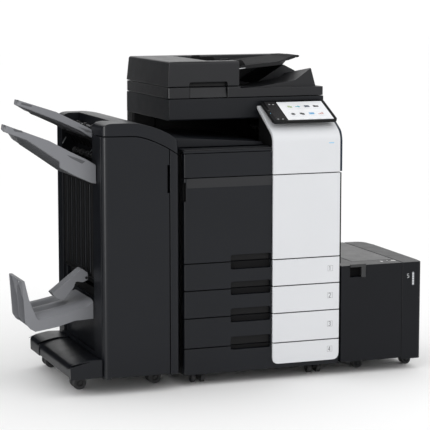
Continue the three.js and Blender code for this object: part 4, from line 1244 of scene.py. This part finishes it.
# The output ribs take the feeder's lighter charcoal copy, which is painted light.
LANDING_RIB = [(282, 1075.8), (430, 1075.8), (428, 1078.5), (284, 1078.5)]
prisms("original_output_ribs", LIT_FEEDER_CHARCOAL, "document_feeder", 0.4, "y",
       *((y - 1.5, y + 1.5, LANDING_RIB) for y in spread(230, 570, 7)))

# ---------------- large-capacity feeder and back

(_, LCT_FACE, _), (_, LCT_BACK, LCT_TOP) = extent("lct_body")
REAR_FACE = extent("rear_cover")[1][1]


def feeder_marks():
    """Labels on the top, the numeral and the paper level window on the front, and the lever's pocket, with
    painted shade on its back and left side and a painted highlight on its right cheek.
    """
    boxes("lct_top_labels", PRINT_WHITE, "lct", 0, (804, 812, 30, 48, LCT_TOP - 0.1, LCT_TOP + 0.2),
          (835, 867, 36, 55, LCT_TOP - 0.1, LCT_TOP + 0.2))
    ink = (LCT_TOP + 0.2, LCT_TOP + 0.35)
    boxes("lct_label_icons", BLACK, "lct", 0, (839, 849, 40, 51, *ink, 1), (852, 864, 44, 46, *ink),
          (852, 862, 48, 50, *ink))
    five = [(899, 370), (892, 370), (892, 363), (898, 363), (899, 357), (892, 355)]
    printed("lct_numeral", PRINT_GREY, "lct", five, LCT_FACE - 0.2, LCT_FACE + 0.1, 2.2)
    boxes("lct_level_window", WINDOW_GREY, "lct", 0.3,
          (912, 920.5, LCT_FACE - 0.5, LCT_FACE + 0.2, 326, 377, 4))
    boxes("lct_level_marks", PRINT_PALE, "lct", 0,
          *((913.5, 919, LCT_FACE - 0.7, LCT_FACE - 0.4, z, z + 4, 1) for z in range(331, 376, 9)))
    boxes("lct_pocket_shade", INNER_BLACK_AND_SHADE, "lct", 0, (655, 716, 8.4, 9.8, 372, 408),
          (654.2, 655.2, -12, 9, 372, 408))
    prisms("lct_pocket_cheek_highlight", CHEEK_HIGHLIGHT_GREY, "lct", 0.8, "z",
           (373, 407, [(716.5, -12.6), (716.5, 8.8), (705, 8.8), (709, -2, 6)]))
    boxes("lct_seam_filler", LID_GREY, "lct", 0, (870.3, 871.7, 78, 520, 405, LCT_TOP - 0.5))


def feeder_inside():
    """Paper guides in the store and a plain label under its lid."""
    boxes("lct_paper_guides", INNER_GREY, "lct", 0.8, (700, 780, 70, 76, 378, 396, 3),
          (700, 780, 490, 496, 378, 396, 3), (640, 646, 180, 400, 378, 396, 3))
    boxes("lct_lid_underlabel", PRINT_PALE, "lct_lid", 0, (730, 842, 80, 110, 402.2, 402.6))


def screws(name, body, face, places):
    """Pan-head screws with a cross recess, seated on a rear face; the recess is a dark cross of painted
    shade.
    """
    heads = bmesh.new()
    cross = bmesh.new()
    for x, z in places:
        lathe(heads, "y", (x, z), [(0, face), (4, face), (4, face + 1.2), (2.6, face + 2), (0, face + 2)], 20)
        for wide, tall in ((2.2, 0.5), (0.5, 2.2)):
            block(cross, x - wide, x + wide, face + 1.9, face + 2.15, z - tall, z + tall)
    made(f"{name}_heads", heads, STEEL, body, soft=0)
    made(f"{name}_recess_shade", cross, INNER_BLACK_AND_SHADE, body, soft=0)


def back_details():
    """Louvres, screws, the power inlet's pins, ports and a plain rating plate."""
    fields = ((60, 250, 620, 14), (360, 560, 620, 14), (60, 250, 250, 10))
    slats = [louvre(x0, x1, REAR_FACE - 0.5, z + 12 * row, 7)
             for x0, x1, z, count in fields for row in range(count)]
    prisms("rear_louvres", BLACK, "main_unit", 0.3, "x", *slats)
    screws("rear_cover_screws", "main_unit", REAR_FACE,
           [(24, 90), (24, 450), (24, 810), (590, 150), (590, 450), (590, 810), (306, 810), (306, 90)])
    boxes("inlet_pins", STEEL, "main_unit", 0.3,
          *((x - 1, x + 1, 658, 668, 100, 107) for x in (528, 536, 544)))
    ports = zip(range(430, 550, 24), (16, 16, 12, 13, 13), (13, 13, 11, 5, 5))
    boxes("rear_ports", INNER_BLACK_AND_SHADE, "main_unit", 0,
          *((x, x + width, REAR_FACE - 0.6, REAR_FACE + 0.4, 560, 560 + height, 1)
            for x, width, height in ports))
    boxes("rear_port_plate", INNER_GREY, "main_unit", 0.2,
          (420, 560, REAR_FACE - 0.5, REAR_FACE + 0.3, 550, 585, 4))
    boxes("rear_rating_plate", WINDOW_GREY, "main_unit", 0,
          (400, 500, REAR_FACE - 0.4, REAR_FACE + 0.4, 90, 150, 3))
    prisms("finisher_rear_louvres", BLACK, "finisher", 0.3, "x",
           *(louvre(-260, -120, FIN_BACK - 0.5, 640 + 12 * row, 7) for row in range(8)))
    screws("finisher_rear_screws", "finisher", FIN_BACK,
           [(-296, 100), (-296, 500), (-296, 840), (-42, 100), (-42, 500), (-42, 820)])
    screws("lct_rear_screws", "lct", LCT_BACK, [(640, 70), (640, 380), (850, 70), (850, 380)])
    prisms("scanner_rear_louvres", BLACK, "main_unit", 0.3, "x",
           *(louvre(200, 420, 669.5, 985 + 10 * row, 6, 1.9) for row in range(4)))


feeder_marks()
feeder_inside()
back_details()
boxes("bypass_tray_ridges", BLACK, "bypass_tray", 0.3, (628.6, 629.3, 180, 440, 600, 603),
      (628.6, 629.3, 180, 440, 742, 745))

# ---------------- floor, light and camera

FLOOR_SIZE = 60.0


def floor():
    nodes = Nodes("floor_plaster")
    cloud = nodes.noise(0.6, 2.0)
    nodes.link(nodes.ramp(cloud, [(0.3, (0.93, 0.93, 0.93)), (0.7, (0.945, 0.945, 0.945))]),
               nodes.shader.inputs["Base Color"])
    nodes.shader.inputs["Roughness"].default_value = 0.9
    nodes.shader.inputs["Specular IOR Level"].default_value = 0.1
    bpy.ops.mesh.primitive_plane_add(size=FLOOR_SIZE)
    plane = bpy.context.object
    plane.name = "studio_floor"
    plane.data.materials.append(nodes.material)


def soft_light(name, where, aim, size, power, gloss_only=False):
    data = bpy.data.lights.new(name, "AREA")
    data.shape = "RECTANGLE"
    data.size, data.size_y = size
    data.energy = power
    light = bpy.data.objects.new(name, data)
    light.location = where
    light.rotation_euler = (Vector(aim) - Vector(where)).to_track_quat("-Z", "Y").to_euler()
    light.visible_diffuse = not gloss_only
    bpy.context.scene.collection.objects.link(light)


def studio():
    world = bpy.data.worlds.new("studio")
    world.use_nodes = True
    background = world.node_tree.nodes["Background"]
    background.inputs["Color"].default_value = (1.0, 1.0, 1.0, 1.0)
    background.inputs["Strength"].default_value = 1.08
    bpy.context.scene.world = world
    bpy.context.scene.view_settings.view_transform = "Standard"
    soft_light("key", (2.6, -3.4, 3.4), (0.2, 0.0, 0.5), (2.5, 2.0), 25)
    soft_light("left_strip", (-3.2, -2.6, 1.0), (-0.4, 0.0, 0.7), (0.7, 3.0), 170, gloss_only=True)
    left, right, back = -3.6, -0.45, 1.9
    dark_flag("flag_behind_left", [
        (left, back, 0.001), (right, back, 0.001), (right, back, 3.4), (left, back, 3.4)])
    dark_flag("flag_on_floor", [
        (left, 0.35, 0.002), (-0.75, 0.35, 0.002), (right, back, 0.002), (left, back, 0.002)])


def dark_flag(name, corners):
    """A black screen beside the set: only the gloss of the covers sees it."""
    nodes = Nodes(name)
    nodes.link(nodes.ramp(nodes.noise(1.0), [(0.3, (0.01, 0.01, 0.01)), (0.7, (0.014, 0.014, 0.014))]),
               nodes.shader.inputs["Base Color"])
    nodes.shader.inputs["Roughness"].default_value = 1.0
    nodes.shader.inputs["Specular IOR Level"].default_value = 0.0
    data = bpy.data.meshes.new(name)
    data.from_pydata(corners, [], [(0, 1, 2, 3)])
    data.materials.append(nodes.material)
    flag = bpy.data.objects.new(name, data)
    bpy.context.scene.collection.objects.link(flag)
    for rays in ("camera", "diffuse", "transmission", "volume_scatter", "shadow"):
        setattr(flag, f"visible_{rays}", False)


AZIMUTH = math.radians(-20.334)   # camera's turn about the vertical from straight ahead
PITCH = math.radians(7.849)       # how far it looks down
EYE = (-2116.0, -6034.0, 1517.6)  # its place in the working frame
LENS = 150.06


def camera():
    data = bpy.data.cameras.new("camera")
    data.lens = LENS
    data.sensor_width = 36.0
    data.clip_end = 100.0
    eye = bpy.data.objects.new("camera", data)
    eye.location = TO_FRAME @ Vector(EYE)
    eye.rotation_euler = (math.pi / 2 - PITCH, 0.0, AZIMUTH)
    bpy.context.scene.collection.objects.link(eye)
    bpy.context.scene.camera = eye


floor()
studio()
camera()
